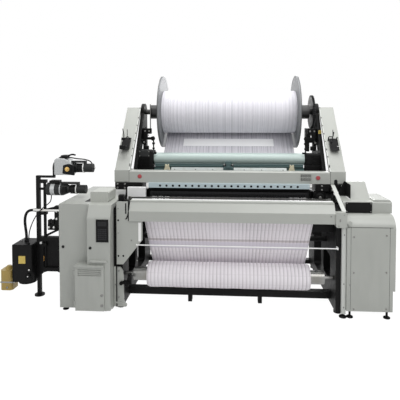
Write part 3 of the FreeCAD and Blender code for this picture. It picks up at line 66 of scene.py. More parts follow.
BEVEL_FROM, BEVEL_STEPS = 35.0, 2  # degrees between faces from which an edge is rounded, and its facets
SHEET_OFFSET = 0.0014  # height of a warp sheet's middle over a roller's face


def linear(colour: Colour, *factors: float) -> Linear:
    """Turn a colour as a screen shows it, 0 to 255, into the linear colour a shader takes.

    Formula: a channel c of 0 to 1 becomes ((c + 0.055) / 1.055) to the power 2.4, or c / 12.92 below 0.04,
    then is multiplied by its factor and clipped at 1.

    Args:
        colour: Red, green and blue as shown.
        factors: One factor for all channels or one for each, none for the colour as it is.

    Returns:
        The linear colour with an alpha of 1.
    """
    shown = np.array(colour) / 255
    value = np.where(shown > 0.04045, ((shown + 0.055) / 1.055) ** 2.4, shown / 12.92) * (factors or 1.0)
    return (*np.minimum(value, 1.0).tolist(), 1.0)


# ---------------------------------------------------------------- finishes


class Tree:
    """A node tree with short calls for the nodes that the finishes and the studio share."""

    def __init__(self, owner: bpy.types.Material | bpy.types.World) -> None:
        """Start an empty tree.

        Args:
            owner: The material or the world that it belongs to.
        """
        owner.use_nodes = True
        self.tree = owner.node_tree
        self.tree.nodes.clear()

    def put(self, socket: Socket, value: object) -> None:
        """Give a socket a value, or a link where the value is another node's output."""
        if isinstance(value, Socket):
            self.tree.links.new(value, socket)
        else:
            socket.default_value = value

    def node(self, kind: str, *values: object, **named: object) -> bpy.types.Node:
        """Add a node and give its inputs values or other nodes' outputs.

        Args:
            kind: Blender's name of its type, without the leading ShaderNode.
            values: What its first inputs are given, in order.
            named: What its named inputs are given.

        Returns:
            The node.
        """
        made = self.tree.nodes.new("ShaderNode" + kind)
        for socket, value in zip(made.inputs, values):
            self.put(socket, value)
        for name, value in named.items():
            self.put(made.inputs[name], value)
        return made

    def math(self, operation: str, first: object, second: object = 0.0, third: object = 0.0) -> Socket:
        """One arithmetic step on sockets or numbers.

        Args:
            operation: Blender's name for the step.
            first: First operand.
            second: Second operand.
            third: Third operand, for steps that take one.

        Returns:
            The result.
        """
        node = self.node("Math")
        node.operation = operation
        for socket, value in zip(node.inputs, (first, second, third)):
            self.put(socket, value)
        return node.outputs[0]


class Nodes(Tree):
    """A material's node tree, with its shader joined to its output and the object's own coordinates."""

    def __init__(self, name: str) -> None:
        """Start the material.

        Args:
            name: Its name.
        """
        self.material = bpy.data.materials.new(name)
        super().__init__(self.material)
        self.shader = self.node("BsdfPrincipled")
        self.output = self.node("OutputMaterial", self.shader.outputs[0])
        self.place = self.node("TexCoord").outputs["Object"]

    def give(self, name: str, value: object) -> None:
        """Give the shader's named input a value or another node's output."""
        self.put(self.shader.inputs[name], value)

    def stretch(self, scale: Point) -> Socket:
        """The object's coordinates times a factor along each axis, so that a pattern is longer one way."""
        return self.node("Mapping", Vector=self.place, Scale=scale).outputs[0]

    def noise(self, scale: float, detail: float, source: Socket | None = None) -> Socket:
        """Smooth noise of 0 to 1 with the given number of cells a metre.

        Args:
            scale: Cells a metre.
            detail: Octaves of finer noise.
            source: Coordinates, the Object ones where none are given.

        Returns:
            The noise value.
        """
        return self.node("TexNoise", Vector=source or self.place, Scale=scale, Detail=detail).outputs[0]

    def spread(self, value: Socket, low: float, high: float,
               start: float = 0.0, end: float = 1.0) -> Socket:
        """Map a value from low..high onto start..end, clamped at both.

        Args:
            value: The value.
            low: Where it gives start.
            high: Where it gives end.
            start: Result at low.
            end: Result at high.

        Returns:
            The mapped value.
        """
        return self.node("MapRange", value, low, high, start, end).outputs[0]

    def mix(self, share: object, first: object, second: object) -> Socket:
        """Mix two colours by a share of 0 to 1.

        Args:
            share: Share of the second colour.
            first: First colour.
            second: Second colour.

        Returns:
            The mixed colour.
        """
        node = self.node("Mix")
        node.data_type = "RGBA"
        for socket, value in zip((node.inputs[0], node.inputs[6], node.inputs[7]), (share, first, second)):
            self.put(socket, value)
        return node.outputs[2]

    def axis(self, index: int, source: Socket | None = None) -> Socket:
        """One coordinate of a vector: 0 for X, 1 for Y, 2 for Z."""
        return self.node("SeparateXYZ", source or self.place).outputs[index]

    def bump(self, height: Socket, depth: float) -> None:
        """Let a height raise the surface, after any bump set before.

        Args:
            height: Height of 0 to 1.
            depth: How many metres a height of 1 raises it.
        """
        node = self.node("Bump", Height=height, Distance=depth)
        normal = self.shader.inputs["Normal"]
        if normal.is_linked:
            self.put(node.inputs["Normal"], normal.links[0].from_socket)
        self.put(normal, node.outputs[0])


@dataclass(frozen=True)
class Finish:
    """Plain finish that the others build on: a colour with soft blotches and a fine grain.

    Attributes:
        name: Name of the material and of the record's slot.
        colour: Colour as a screen shows it.
        rough: Mean roughness.
        metal: 1 for bare metal.
        blotch: How much lighter or darker the soft blotches are.
        grain: Cells a metre of the fine grain.
        depth: Height of the grain in metres.
        slot: The record's material slot, where its name differs; not used.
        gloss: Share of light that the surface throws straight back, 0.5 for common plastics and paints.
    """

    name: str
    colour: Colour
    rough: float = 0.4
    metal: float = 0.0
    blotch: float = 0.1
    grain: float = 700.0
    depth: float = 0.00006
    slot: str = ""
    gloss: float = 0.5

    def shade(self, nodes: Nodes) -> Socket:
        """Colour of the surface: the plain colour, darker and lighter in soft blotches.

        Args:
            nodes: The tree that is built.

        Returns:
            The colour.
        """
        dark, light = linear(self.colour, 1 - self.blotch), linear(self.colour, 1 + self.blotch)
        return nodes.mix(nodes.noise(3.0, 4.0), dark, light)

    def dress(self, nodes: Nodes) -> None:
        """Join colour, roughness and grain to the shader.

        Args:
            nodes: The tree that is built.
        """
        nodes.give("Base Color", self.shade(nodes))
        nodes.give("Metallic", self.metal)
        wear = nodes.noise(24.0, 5.0)
        nodes.give("Roughness", nodes.spread(wear, 0.3, 0.7, self.rough * 0.85, min(1.0, self.rough * 1.15)))
        nodes.bump(nodes.noise(self.grain, 2.0), self.depth)

    def material(self) -> bpy.types.Material:
        """The finished material, made once for each name, beside the frame's own of the plain names."""
        label = f"loom_{self.name}"
        found = bpy.data.materials.get(label)
        if found is None:
            nodes = Nodes(label)
            nodes.give("Specular IOR Level", self.gloss)
            self.dress(nodes)
            found = nodes.material
        return found


@dataclass(frozen=True)
class Paint(Finish):
    """Stoved enamel on sheet or casting: faint orange peel, dust that gathers low, chips that show metal.

    Attributes:
        peel: Height of the orange peel in metres.
        soil: How much darker the surface is near the floor.
        chips: Share of the surface that is scuffed.
        coat: Weight of the clear gloss over the colour.
        bare: Colour of the metal where it is scuffed.
        scuffed: Share of that colour in the deepest scuff.
        soil_top: Height at which the soil has faded out.
        soil_depth: How many times the soil's own share the thickest soil darkens.
    """

    peel: float = 0.00008
    soil: float = 0.12
    chips: float = 0.02
    coat: float = 0.0
    bare: Colour = (112, 110, 104)
    scuffed: float = 0.45
    soil_top: float = 1.2
    soil_depth: float = 2.2

    def shade(self, nodes: Nodes) -> Socket:
        """Colour with soil that fades out upwards, oily runs, and small scuffs where noise is highest.

        Args:
            nodes: The tree that is built.

        Returns:
            The colour.
        """
        plain = Finish.shade(self, nodes)
        low = nodes.spread(nodes.axis(2), 0.0, self.soil_top, 1.0, 0.0)
        runs = nodes.spread(nodes.noise(9.0, 6.0, nodes.stretch((1.0, 1.0, 0.25))), 0.42, 0.75)
        share = nodes.math("MULTIPLY_ADD", nodes.math("MULTIPLY", low, runs), 0.8,
                           nodes.math("MULTIPLY", runs, self.soil))
        soiled = nodes.mix(share, plain, linear(self.colour, 1 - self.soil * self.soil_depth))
        scuff = nodes.spread(nodes.noise(55.0, 8.0), 0.74 - self.chips, 0.78 - self.chips)
        return nodes.mix(nodes.math("MULTIPLY", scuff, self.scuffed), soiled, linear(self.bare))

    def dress(self, nodes: Nodes) -> None:
        """Add the orange peel and the clear gloss to the plain finish.

        Args:
            nodes: The tree that is built.
        """
        Finish.dress(self, nodes)
        nodes.bump(nodes.noise(260.0, 1.0), self.peel)
        nodes.give("Coat Weight", self.coat)
        nodes.give("Coat Roughness", 0.25)


@dataclass(frozen=True)
class Machined(Finish):
    """Turned, ground or rolled bare metal with fine lines and a thin film of oil.

    Attributes:
        lines: Lines a metre.
    """

    lines: float = 900.0

    def dress(self, nodes: Nodes) -> None:
        """Add lines to the colour, the roughness and the height.

        Args:
            nodes: The tree that is built.
        """
        lines = nodes.noise(self.lines, 2.0, nodes.stretch(LINES_ROUND_X))
        oil = nodes.spread(nodes.noise(7.0, 6.0), 0.5, 0.72)
        clean = nodes.mix(lines, linear(self.colour, 0.72), linear(self.colour))
        stain = linear(self.colour, 0.62, 0.58, 0.5)
        nodes.give("Base Color", nodes.mix(nodes.math("MULTIPLY", oil, 0.5), clean, stain))
        nodes.give("Metallic", self.metal)
        nodes.give("Roughness", nodes.spread(lines, 0.25, 0.75, self.rough * 0.7, min(1.0, self.rough * 1.3)))
        nodes.bump(lines, self.depth)


@dataclass(frozen=True)
class Split(Finish):
    """Two finishes on one piece, the second beyond a plane across X or outside a span of x.

    Attributes:
        second: Finish of the outer part.
        second_rough: Its roughness.
        second_metal: Its metallic value.
        middle: x of the span's middle in the loom's frame.
        half: Half the span's width.
    """

    second: Colour = (30, 30, 30)
    second_rough: float = 0.4
    second_metal: float = 0.0
    middle: float = 0.0
    half: float = 1.0

    def dress(self, nodes: Nodes) -> None:
        """Mix colour, roughness and metal where the distance from the span's middle passes its half width.

        Args:
            nodes: The tree that is built.
        """
        across = nodes.math("SUBTRACT", nodes.axis(0), self.middle + float(SHIFT[0]))
        away = nodes.math("ABSOLUTE", across)
        mask = nodes.spread(away, self.half - 0.0005, self.half + 0.0005)
        lines = nodes.noise(800.0, 2.0, nodes.stretch(LINES_ROUND_X))
        inner = nodes.mix(lines, linear(self.colour, 0.8), linear(self.colour))
        outer = Finish.shade(Finish(self.name, self.second), nodes)
        nodes.give("Base Color", nodes.mix(mask, inner, outer))
        nodes.give("Roughness", nodes.spread(mask, 0.0, 1.0, self.rough, self.second_rough))
        nodes.give("Metallic", nodes.spread(mask, 0.0, 1.0, self.metal, self.second_metal))
        nodes.bump(nodes.noise(self.grain, 2.0), self.depth)


@dataclass(frozen=True)
class Yarn(Finish):
    """Thousands of parallel warp ends: white, in bands that lie a little closer or looser.

    Attributes:
        ends: Yarn ridges a metre across the sheet.
        shadow: How dark the looser bands are.
    """

    ends: float = 420.0
    shadow: float = 0.45

    def dress(self, nodes: Nodes) -> None:
        """Bands and ridges depend on x alone, with a slow wander along the yarn.

        Args:
            nodes: The tree that is built.
        """
        wander = nodes.noise(1.3, 2.0)
        across = nodes.math("MULTIPLY_ADD", wander, 0.004, nodes.axis(0))
        strip = nodes.node("CombineXYZ", across).outputs[0]
        bands = nodes.spread(nodes.noise(44.0, 5.0, strip), 0.48, 0.66)
        fine = nodes.spread(nodes.noise(110.0, 3.0, strip), 0.46, 0.62)
        gap = linear(self.colour, 0.3, 0.3, 0.33)
        share = nodes.math("MULTIPLY_ADD", bands, self.shadow * 0.75,
                           nodes.math("MULTIPLY", fine, self.shadow * 0.6))
        nodes.give("Base Color", nodes.mix(nodes.math("MINIMUM", share, 1.0), linear(self.colour), gap))
        nodes.give("Roughness", self.rough)
        nodes.give("Sheen Weight", 0.15)
        wave = nodes.node("TexWave", Vector=strip, Scale=self.ends / math.tau * 2, Distortion=0.6)
        nodes.bump(wave.outputs["Fac"], self.depth)
        nodes.bump(nodes.noise(150.0, 2.0, strip), self.depth * 3)


@dataclass(frozen=True)
class Terry(Finish):
    """Woven towelling with a window check; u runs across the loom and v along the cloth, in metres.

    Attributes:
        check: Distance between the check's lines across the cloth.
        row: Distance between the check's lines along the cloth.
        towel: Length of one towel, in which the plain borders repeat.
        border: Where a towel's pale plain border begins and ends along it.
        edge: Where its brown stripe begins and ends.
        pale: Colour of the border.
        brown: Colour of the stripe.
        tints: The check's two colours, which change over in slow patches.
        strengths: Share of the border's, the stripe's and the check's colour where each is strongest.
        loops: Loops of the pile a metre.
    """

    check: float = 0.0405
    row: float = 0.108
    towel: float = 0.62
    border: Pair = (0.088, 0.186)
    edge: Pair = (0.052, 0.082)
    pale: Colour = (214, 208, 219)
    brown: Colour = (170, 158, 160)
    tints: tuple[Colour, Colour] = ((84, 84, 96), (122, 92, 98))
    strengths: tuple[float, float, float] = (0.8, 0.62, 0.5)
    loops: float = 420.0

    def stripe(self, nodes: Nodes, across: Socket, pitch: float, width: float,
               offset: float = 0.0) -> Socket:
        """A soft repeated line: 1 up to half of width from the nearest multiple of pitch, 0 past width.

        Args:
            nodes: The tree that is built.
            across: Distance across the lines.
            pitch: Distance between lines.
            width: Half width of a line.
            offset: Where the first line lies.

        Returns:
            The lines' strength.
        """
        turn = nodes.math("PINGPONG", nodes.math("SUBTRACT", across, offset), pitch / 2)
        return nodes.spread(turn, width * 0.55, width, 1.0, 0.0)

    def band(self, nodes: Nodes, along: Socket, ends: Pair) -> Socket:
        """A band of 1 between two places along a towel, 0 outside, with soft edges.

        Args:
            nodes: The tree that is built.
            along: Distance along the towel.
            ends: Where it starts to rise and where it starts to fall.

        Returns:
            The band's strength.
        """
        (low, high), soft = ends, 0.006
        return nodes.math("MULTIPLY", nodes.spread(along, low, low + soft),
                          nodes.spread(along, high, high + soft, 1.0, 0.0))

    def dress(self, nodes: Nodes) -> None:
        """Check lines one way and the other, plain borders across the cloth, and a looped pile.

        Args:
            nodes: The tree that is built.
        """
        uv = nodes.node("UVMap")
        uv.uv_map = "cloth"
        wobble = nodes.math("MULTIPLY_ADD", nodes.noise(5.0, 3.0), 0.006, -0.003)
        u = nodes.math("ADD", nodes.axis(0, uv.outputs[0]), wobble)
        v = nodes.math("ADD", nodes.axis(1, uv.outputs[0]), wobble)
        along = nodes.math("FLOORED_MODULO", v, self.towel)
        border, edge = self.band(nodes, along, self.border), self.band(nodes, along, self.edge)
        strong = nodes.math("MAXIMUM", self.stripe(nodes, u, self.check, 0.006),
                            nodes.math("MULTIPLY", self.stripe(nodes, u, self.check, 0.0026, 0.0125), 0.7))
        faint = nodes.math("MULTIPLY", self.stripe(nodes, u, self.check / 4, 0.002), 0.3)
        rows = nodes.math("MULTIPLY", self.stripe(nodes, v, self.row, 0.006), 0.32)
        fade = nodes.spread(nodes.noise(2.2, 2.0), 0.3, 0.7, 0.5, 1.0)
        calm = nodes.math("SUBTRACT", 1.0, nodes.math("MULTIPLY", border, 0.72))
        lines = nodes.math("MAXIMUM", nodes.math("MAXIMUM", strong, faint), rows)
        lines = nodes.math("MULTIPLY", nodes.math("MULTIPLY", lines, fade), calm)
        border, edge, lines = (
            nodes.math("MULTIPLY", part, share) for part, share in zip((border, edge, lines), self.strengths))
        plain = nodes.mix(border, linear(self.colour), linear(self.pale))
        dusk = nodes.mix(edge, plain, linear(self.brown))
        tint = nodes.mix(nodes.noise(1.7, 2.0), *map(linear, self.tints))
        nodes.give("Base Color", nodes.mix(lines, dusk, tint))
        nodes.give("Roughness", self.rough)
        nodes.give("Sheen Weight", 0.25)
        weave = nodes.node("TexVoronoi", Vector=uv.outputs[0], Scale=self.loops)
        nodes.bump(weave.outputs["Distance"], self.depth)
        nodes.bump(nodes.noise(34.0, 3.0), self.depth * 5)


@dataclass(frozen=True)
class Ribbed(Finish):
    """Rubber with ribs round it, as on a hose, that follow the first UV coordinate along it.

    Attributes:
        ribs: Ribs to one unit of the coordinate.
    """

    ribs: float = 120.0

    def dress(self, nodes: Nodes) -> None:
        """Ribs raise the surface and catch a little dust.

        Args:
            nodes: The tree that is built.
        """
        uv = nodes.node("UVMap")
        wave = nodes.math("SINE", nodes.math("MULTIPLY", nodes.axis(0, uv.outputs[0]), math.tau * self.ribs))
        height = nodes.spread(wave, -1.0, 1.0)
        base = linear(self.colour)
        dust = tuple(c * 1.9 + 0.01 for c in base[:3]) + (1.0,)
        nodes.give("Base Color", nodes.mix(nodes.math("MULTIPLY", height, 0.6), base, dust))
        nodes.give("Roughness", self.rough)
        nodes.bump(height, self.depth)


# ---------------------------------------------------------------- surfaces


def link_mesh(name: str, points: Array, faces: Sequence[Sequence[int]], smooth: bool = True) -> Piece:
    """Make an object from points of the loom's frame and its faces.

    Args:
        name: Name of the piece.
        points: Points, one row each.
        faces: Corner numbers of each face, turning left as seen from outside.
        smooth: Whether faces are shaded smooth.

    Returns:
        The object, at the origin.
    """
    mesh = bpy.data.meshes.new(name)
    mesh.from_pydata((np.asarray(points, float).reshape(-1, 3) + SHIFT).tolist(), [],
                     [list(map(int, face)) for face in faces])
    mesh.polygons.foreach_set("use_smooth", np.full(len(mesh.polygons), smooth))
    mesh.validate()
    mesh.update()
    made = bpy.data.objects.new(name, mesh)
    bpy.context.collection.objects.link(made)
    return made


def ring_faces(rows: int, columns: int) -> Array:
    """Quads between rings of points, each ring joined to the next.

    Formula: point (r, c) has the number r * columns + c, and the last column meets the first.

    Args:
        rows: Number of rings.
        columns: Points in a ring.

    Returns:
        Four corner numbers for each quad.
    """
    row, column = np.meshgrid(np.arange(rows - 1), np.arange(columns), indexing="ij")
    after = (column + 1) % columns
    here, above = row * columns, (row + 1) * columns
    return np.stack((here + column, here + after, above + after, above + column), axis=-1).reshape(-1, 4)


def rectangle(low: Spot, high: Spot) -> list[Spot]:
    """Corners of a rectangle, from the lower left one round by the lower right one."""
    return [low, (high[0], low[1]), high, (low[0], high[1])]


def distances(path: Array) -> Array:
    """Distance of each point of a path from its first one, along the path."""
    return np.concatenate([[0], np.cumsum(np.linalg.norm(np.diff(path, axis=0), axis=1))])


def evenly(path: Array, count: int) -> Array:
    """Points at even distances along a path.

    Args:
        path: The path's points, one row each.
        count: Points wanted.

    Returns:
        The points, one row each.
    """
    run = distances(path)
    even = np.linspace(0, run[-1], count)
    return np.stack([np.interp(even, run, column) for column in path.T], axis=1)


def tube(rings: Array, ends: Array, angle: float, smooth: bool = True) -> Piece:
    """Rings of points joined along their length, and closed by a fan to a point at each end.

    Args:
        rings: Points by ring and by place round it.
        ends: The point at each end.
        angle: Degrees between faces from which their edge stays sharp.
        smooth: Whether its faces are shaded smooth.

    Returns:
        The object.
    """
    rows, sides = rings.shape[:2]
    count = rows * sides
    first, last = np.arange(sides), np.arange(sides) + count - sides
    caps = np.concatenate([np.stack([np.full(sides, count), np.roll(first, -1), first], axis=1),
                           np.stack([np.full(sides, count + 1), last, np.roll(last, -1)], axis=1)])
    faces = ring_faces(rows, sides).tolist() + caps.tolist()
    made = link_mesh("part", np.concatenate([rings.reshape(-1, 3), ends]), faces, smooth)
    if smooth:
        crease(made, angle)
    return made


def frame_of(axis: Point) -> tuple[Array, Array, Array]:
    """Three square unit vectors, the first along the axis.

    Args:
        axis: Direction of the first.

    Returns:
        The axis and two directions across it, which turn left round it.
    """
    along = np.array(axis, float) / np.linalg.norm(axis)
    across = np.cross(UP if abs(along[2]) < 0.9 else RIGHT, along)
    across /= np.linalg.norm(across)
    return along, across, np.cross(along, across)


def turned(centre: Point, axis: Point, profile: Sequence[Spot], sides: int, smooth: bool = True) -> Piece:
    """A turned piece: a profile carried round an axis, closed at both ends.

    Formula: point (s, a) = centre + axis * height(s) + radius(s) * (across * cos a + up * sin a).

    Args:
        centre: Where the profile's height is 0.
        axis: Direction of the turning axis.
        profile: Pairs of (height, radius), with heights in order.
        sides: Points round the axis.
        smooth: Whether its faces are shaded smooth, with sharp steps kept by an Edge Split.

    Returns:
        The object.
    """
    along, across, up = frame_of(axis)
    angle = np.arange(sides) * math.tau / sides
    height, radius = np.array(profile, float).T
    rim = across * np.cos(angle)[:, None] + up * np.sin(angle)[:, None]
    rings = np.array(centre) + along * height[:, None, None] + rim * radius[:, None, None]
    poles = np.array(centre) + np.outer((height[0], height[-1]), along)
    return tube(rings, poles, TURNED_CREASE, smooth)


def crease(made: Piece, angle: float) -> None:
    """Keep edges sharp where faces meet at more than the given angle in degrees."""
    split = made.modifiers.new("crease", "EDGE_SPLIT")
    split.split_angle = math.radians(angle)


def slab(outline: Sequence[Spot], normal: str, start: float, thick: float, bevel: float) -> Piece:
    """A plate: an outline carried along one axis, with softened edges.

    Args:
        outline: Corners in the plane across the normal, (y, z) for X, (x, z) for Y and (x, y) for Z.
        normal: "X", "Y" or "Z".
        start: Where it starts along the normal.
        thick: How far it goes.
        bevel: Radius of its edges.

    Returns:
        The object.
    """
    index = "XYZ".index(normal)
    others = [i for i in range(3) if i != index]
    flat = np.array(outline, float)
    count = len(flat)
    points = np.zeros((2 * count, 3))
    points[:, others] = np.tile(flat, (2, 1))
    points[:count, index], points[count:, index] = start, start + thick
    area = np.sum(flat[:, 0] * np.roll(flat[:, 1], -1) - np.roll(flat[:, 0], -1) * flat[:, 1])
    ring = np.arange(count)
    sides = np.stack([ring, np.roll(ring, -1), np.roll(ring, -1) + count, ring + count], axis=1)
    faces = sides.tolist() + [ring[::-1].tolist(), (ring + count).tolist()]
    outward = (area > 0) == (normal != "Y")
    if not outward:
        faces = [face[::-1] for face in faces]
    made = link_mesh("part", points, faces, smooth=False)
    edges = made.modifiers.new("edges", "BEVEL")
    edges.width, edges.segments, edges.limit_method = bevel, BEVEL_STEPS, "ANGLE"
    edges.angle_limit = math.radians(BEVEL_FROM)
    return made


def block(low: Point, high: Point, bevel: float) -> Piece:
    """A softened block between two corners."""
    return slab(rectangle((low[0], low[2]), (high[0], high[2])), "Y", low[1], high[1] - low[1], bevel)


def oval(middle: Spot, width: float, height: float, count: int = 32) -> list[Spot]:
    """Corners of an ellipse: middle + (width / 2 * cos a, height / 2 * sin a)."""
    angle = np.arange(count) * math.tau / count
    return [(middle[0] + width / 2 * float(np.cos(a)), middle[1] + height / 2 * float(np.sin(a)))
            for a in angle]


def smooth_path(points: Sequence[Point]) -> Array:
    """Sixty evenly spaced points on a Catmull-Rom curve through the given ones.

    Formula: between p1 and p2 the curve is
    0.5 * (2 p1 + (p2 - p0) t + (2 p0 - 5 p1 + 4 p2 - p3) t^2 + (3 p1 - p0 - 3 p2 + p3) t^3).

    Args:
        points: Points that the curve passes.

    Returns:
        The points, one row each.
    """
    count, known = 60, np.array(points, float)
    known = np.concatenate([2 * known[:1] - known[1:2], known, 2 * known[-1:] - known[-2:-1]])
    spot = np.linspace(0, len(points) - 1 - 1e-9, count * 4)
    i = spot.astype(int)
    t = (spot - i)[:, None]
    p0, p1, p2, p3 = known[i], known[i + 1], known[i + 2], known[i + 3]
    curve = 0.5 * (2 * p1 + (p2 - p0) * t + (2 * p0 - 5 * p1 + 4 * p2 - p3) * t ** 2
                   + (3 * p1 - p0 - 3 * p2 + p3) * t ** 3)
    return evenly(curve, count)


def bent_rod(path: Array, radius: float) -> Piece:
    """A round bar or pipe along a path, with closed ends.

    Formula: each ring is path + radius * (n cos a + b sin a), with n and b square to the path and carried
    from ring to ring without twist.

    Args:
        path: Points of its middle line.
        radius: Its radius.

    Returns:
        The object.
    """
    sides, ahead = 12, np.gradient(path, axis=0)
    ahead /= np.linalg.norm(ahead, axis=1)[:, None]
    normal = np.zeros_like(path)
    normal[0] = frame_of(tuple(ahead[0]))[1]
    for i in range(1, len(path)):
        carried = normal[i - 1] - ahead[i] * np.dot(normal[i - 1], ahead[i])
        normal[i] = carried / np.linalg.norm(carried)
    other = np.cross(ahead, normal)
    angle = np.arange(sides) * math.tau / sides
    spoke = normal[:, None] * np.cos(angle)[None, :, None] + other[:, None] * np.sin(angle)[None, :, None]
    return tube(path[:, None] + radius * spoke, path[[0, -1]], ROUND_CREASE)


def join(name: str, parts: Sequence[Piece]) -> Piece:
    """Join pieces of one finish into one mesh, with their modifiers applied.

    Args:
        name: Name of the joined piece.
        parts: The pieces, all at the origin.

    Returns:
        The joined object.
    """
    graph = bpy.context.evaluated_depsgraph_get()
    points, faces, smooth, count = [], [], [], 0
    for part in parts:
        mesh = bpy.data.meshes.new_from_object(part.evaluated_get(graph), depsgraph=graph)
        flat = np.zeros(len(mesh.vertices) * 3)
        mesh.vertices.foreach_get("co", flat)
        points.append(flat.reshape(-1, 3))
        faces += [[corner + count for corner in face.vertices] for face in mesh.polygons]
        smooth += [face.use_smooth for face in mesh.polygons]
        count += len(mesh.vertices)
        bpy.data.meshes.remove(mesh)
        bpy.data.objects.remove(part)
    made = link_mesh(name, np.concatenate(points) - SHIFT, faces)
    made.data.polygons.foreach_set("use_smooth", smooth)
    return made


def seat(made: Piece, finish: Finish, body: str = "frame") -> None:
    """Give a piece its finish, slot and body.

    Args:
        made: The piece.
        finish: Its finish.
        body: CAD body that it rides on.
    """
    made.data.materials.clear()
    made.data.materials.append(finish.material())
    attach(made, body)
    LOG.info("piece %s on %s", made.name, body)


# ---------------------------------------------------------------- the loom's finishes

GREY_PAINT = Paint("grey_paint", (172, 174, 168), rough=0.38, blotch=0.03, soil=0.06, chips=0.0, coat=0.2)
WHITE_PAINT = Paint("white_paint", (244, 244, 242), rough=0.4, blotch=0.03, soil=0.05, chips=0.0)
BLACK_CAST = Paint("machine_black", (17, 17, 17), rough=0.5, blotch=0.25, peel=0.0004, soil=0.02, chips=0.04,
                   gloss=0.14)
DARK_PAINT = Paint("dark_grey", (40, 41, 41), rough=0.48, blotch=0.15, peel=0.0002, chips=0.04, gloss=0.22)
BLUE_PAINT = Paint("pale_blue", (188, 204, 208), rough=0.35, blotch=0.03, soil=0.05, chips=0.01)
TEAL_PAINT = Paint("teal_paint", (96, 122, 120), rough=0.4, blotch=0.06, chips=0.02, slot="roller_green")
STEEL = Machined("steel", (150, 150, 148), rough=0.34, metal=1.0, depth=0.00003)
BRIGHT = Machined("bright_metal", (205, 205, 203), rough=0.2, metal=1.0, depth=0.00002)
GOLD = Machined("gold_metal", (206, 172, 108), rough=0.3, metal=1.0, depth=0.00003, slot="bright_metal")
BLACK_PLASTIC = Finish("dark_plastic", (16, 16, 17), rough=0.45, blotch=0.1, depth=0.00012, gloss=0.14)
IVORY_PLASTIC = Finish("ivory_plastic", (222, 214, 184), rough=0.45, blotch=0.06, slot="white_paint")
OCHRE = Finish("ochre_plastic", (176, 150, 78), rough=0.35, blotch=0.2, grain=60.0, depth=0.0003)
RED_ENAMEL = Finish("red_enamel", (168, 62, 66), rough=0.35, blotch=0.06, slot="dark_plastic")
YELLOW_PLATE = Finish("yellow_plate", (216, 190, 96), rough=0.5, blotch=0.1, slot="ochre_plastic")
ORANGE_PLATE = Finish("orange_plate", (208, 152, 74), rough=0.5, blotch=0.1, slot="ochre_plastic")
DEEP_TEAL = Paint("deep_teal", (74, 96, 96), rough=0.42, blotch=0.08, chips=0.03, slot="roller_green")
PALE_METAL = Machined("pale_metal", (214, 220, 218), rough=0.36, metal=0.5, depth=0.00002, slot="aluminium")
SILVER_PAINT = Paint("silver_paint", (178, 180, 180), rough=0.36, metal=0.5, blotch=0.05, slot="steel")
GLASS = Finish("glass", (14, 17, 19), rough=0.14, blotch=0.02, depth=0.0, slot="dark_plastic", gloss=0.3)
KEY_PLASTIC = Finish("key_plastic", (44, 45, 47), rough=0.5, blotch=0.1, slot="dark_plastic", gloss=0.2)
GEAR_STEEL = Machined("gear_steel", (34, 35, 36), rough=0.45, metal=0.3, depth=0.00003, slot="steel",
                      gloss=0.25)
COLUMN_PAINT = Paint("column_paint", (202, 204, 199), rough=0.4, blotch=0.03, soil=0.05, chips=0.0,
                     slot="grey_paint")
BAR_WHITE = Finish("bar_white", (252, 252, 252), rough=0.5, blotch=0.01, slot="white_paint")
PILE_YARN = Yarn("yarn", (246, 244, 250), rough=0.8, depth=0.0008, shadow=0.34)
# A darker copy of the yarn, with darker bands, for the sheets: painted shade of sheets that hang in shadow
# below the rolls.
SHADED_YARN_SHEET = Yarn("yarn_sheet_painted_shade", (226, 224, 230), rough=0.85, depth=0.0008, shadow=0.62, slot="yarn")
TOWEL = Terry("cloth", (248, 243, 247), rough=0.95, depth=0.0006)
ROLLER_RUBBER = Finish("roller_rubber", (70, 72, 70), rough=0.75, blotch=0.12, grain=500.0, depth=0.0004)
HOSE_RUBBER = Ribbed("hose_rubber", (18, 18, 19), rough=0.6, ribs=140.0, depth=0.0012, gloss=0.16)
CABLE_RUBBER = Finish("cable_rubber", (16, 16, 17), rough=0.55, blotch=0.1, slot="hose_rubber", gloss=0.16)
GREEN_ROLLER = Split("roller_green", (190, 206, 201), rough=0.3, second=(150, 150, 148), second_rough=0.3,
                     second_metal=1.0, half=0.9655)
BEAM_METAL = Split("beam_metal", (122, 124, 126), rough=0.5, metal=0.15, second=(27, 27, 27), half=0.9125,
                   slot="aluminium")
# Grey paint that turns near white beyond the span: the near white is a painted highlight on the boxes' lit
# side.
BOX_PAINT_AND_HIGHLIGHT = Split("box_paint_highlight", (192, 194, 187), rough=0.4, second=(254, 254, 252), second_rough=0.4,
                  middle=-1.55, half=0.3, slot="grey_paint")


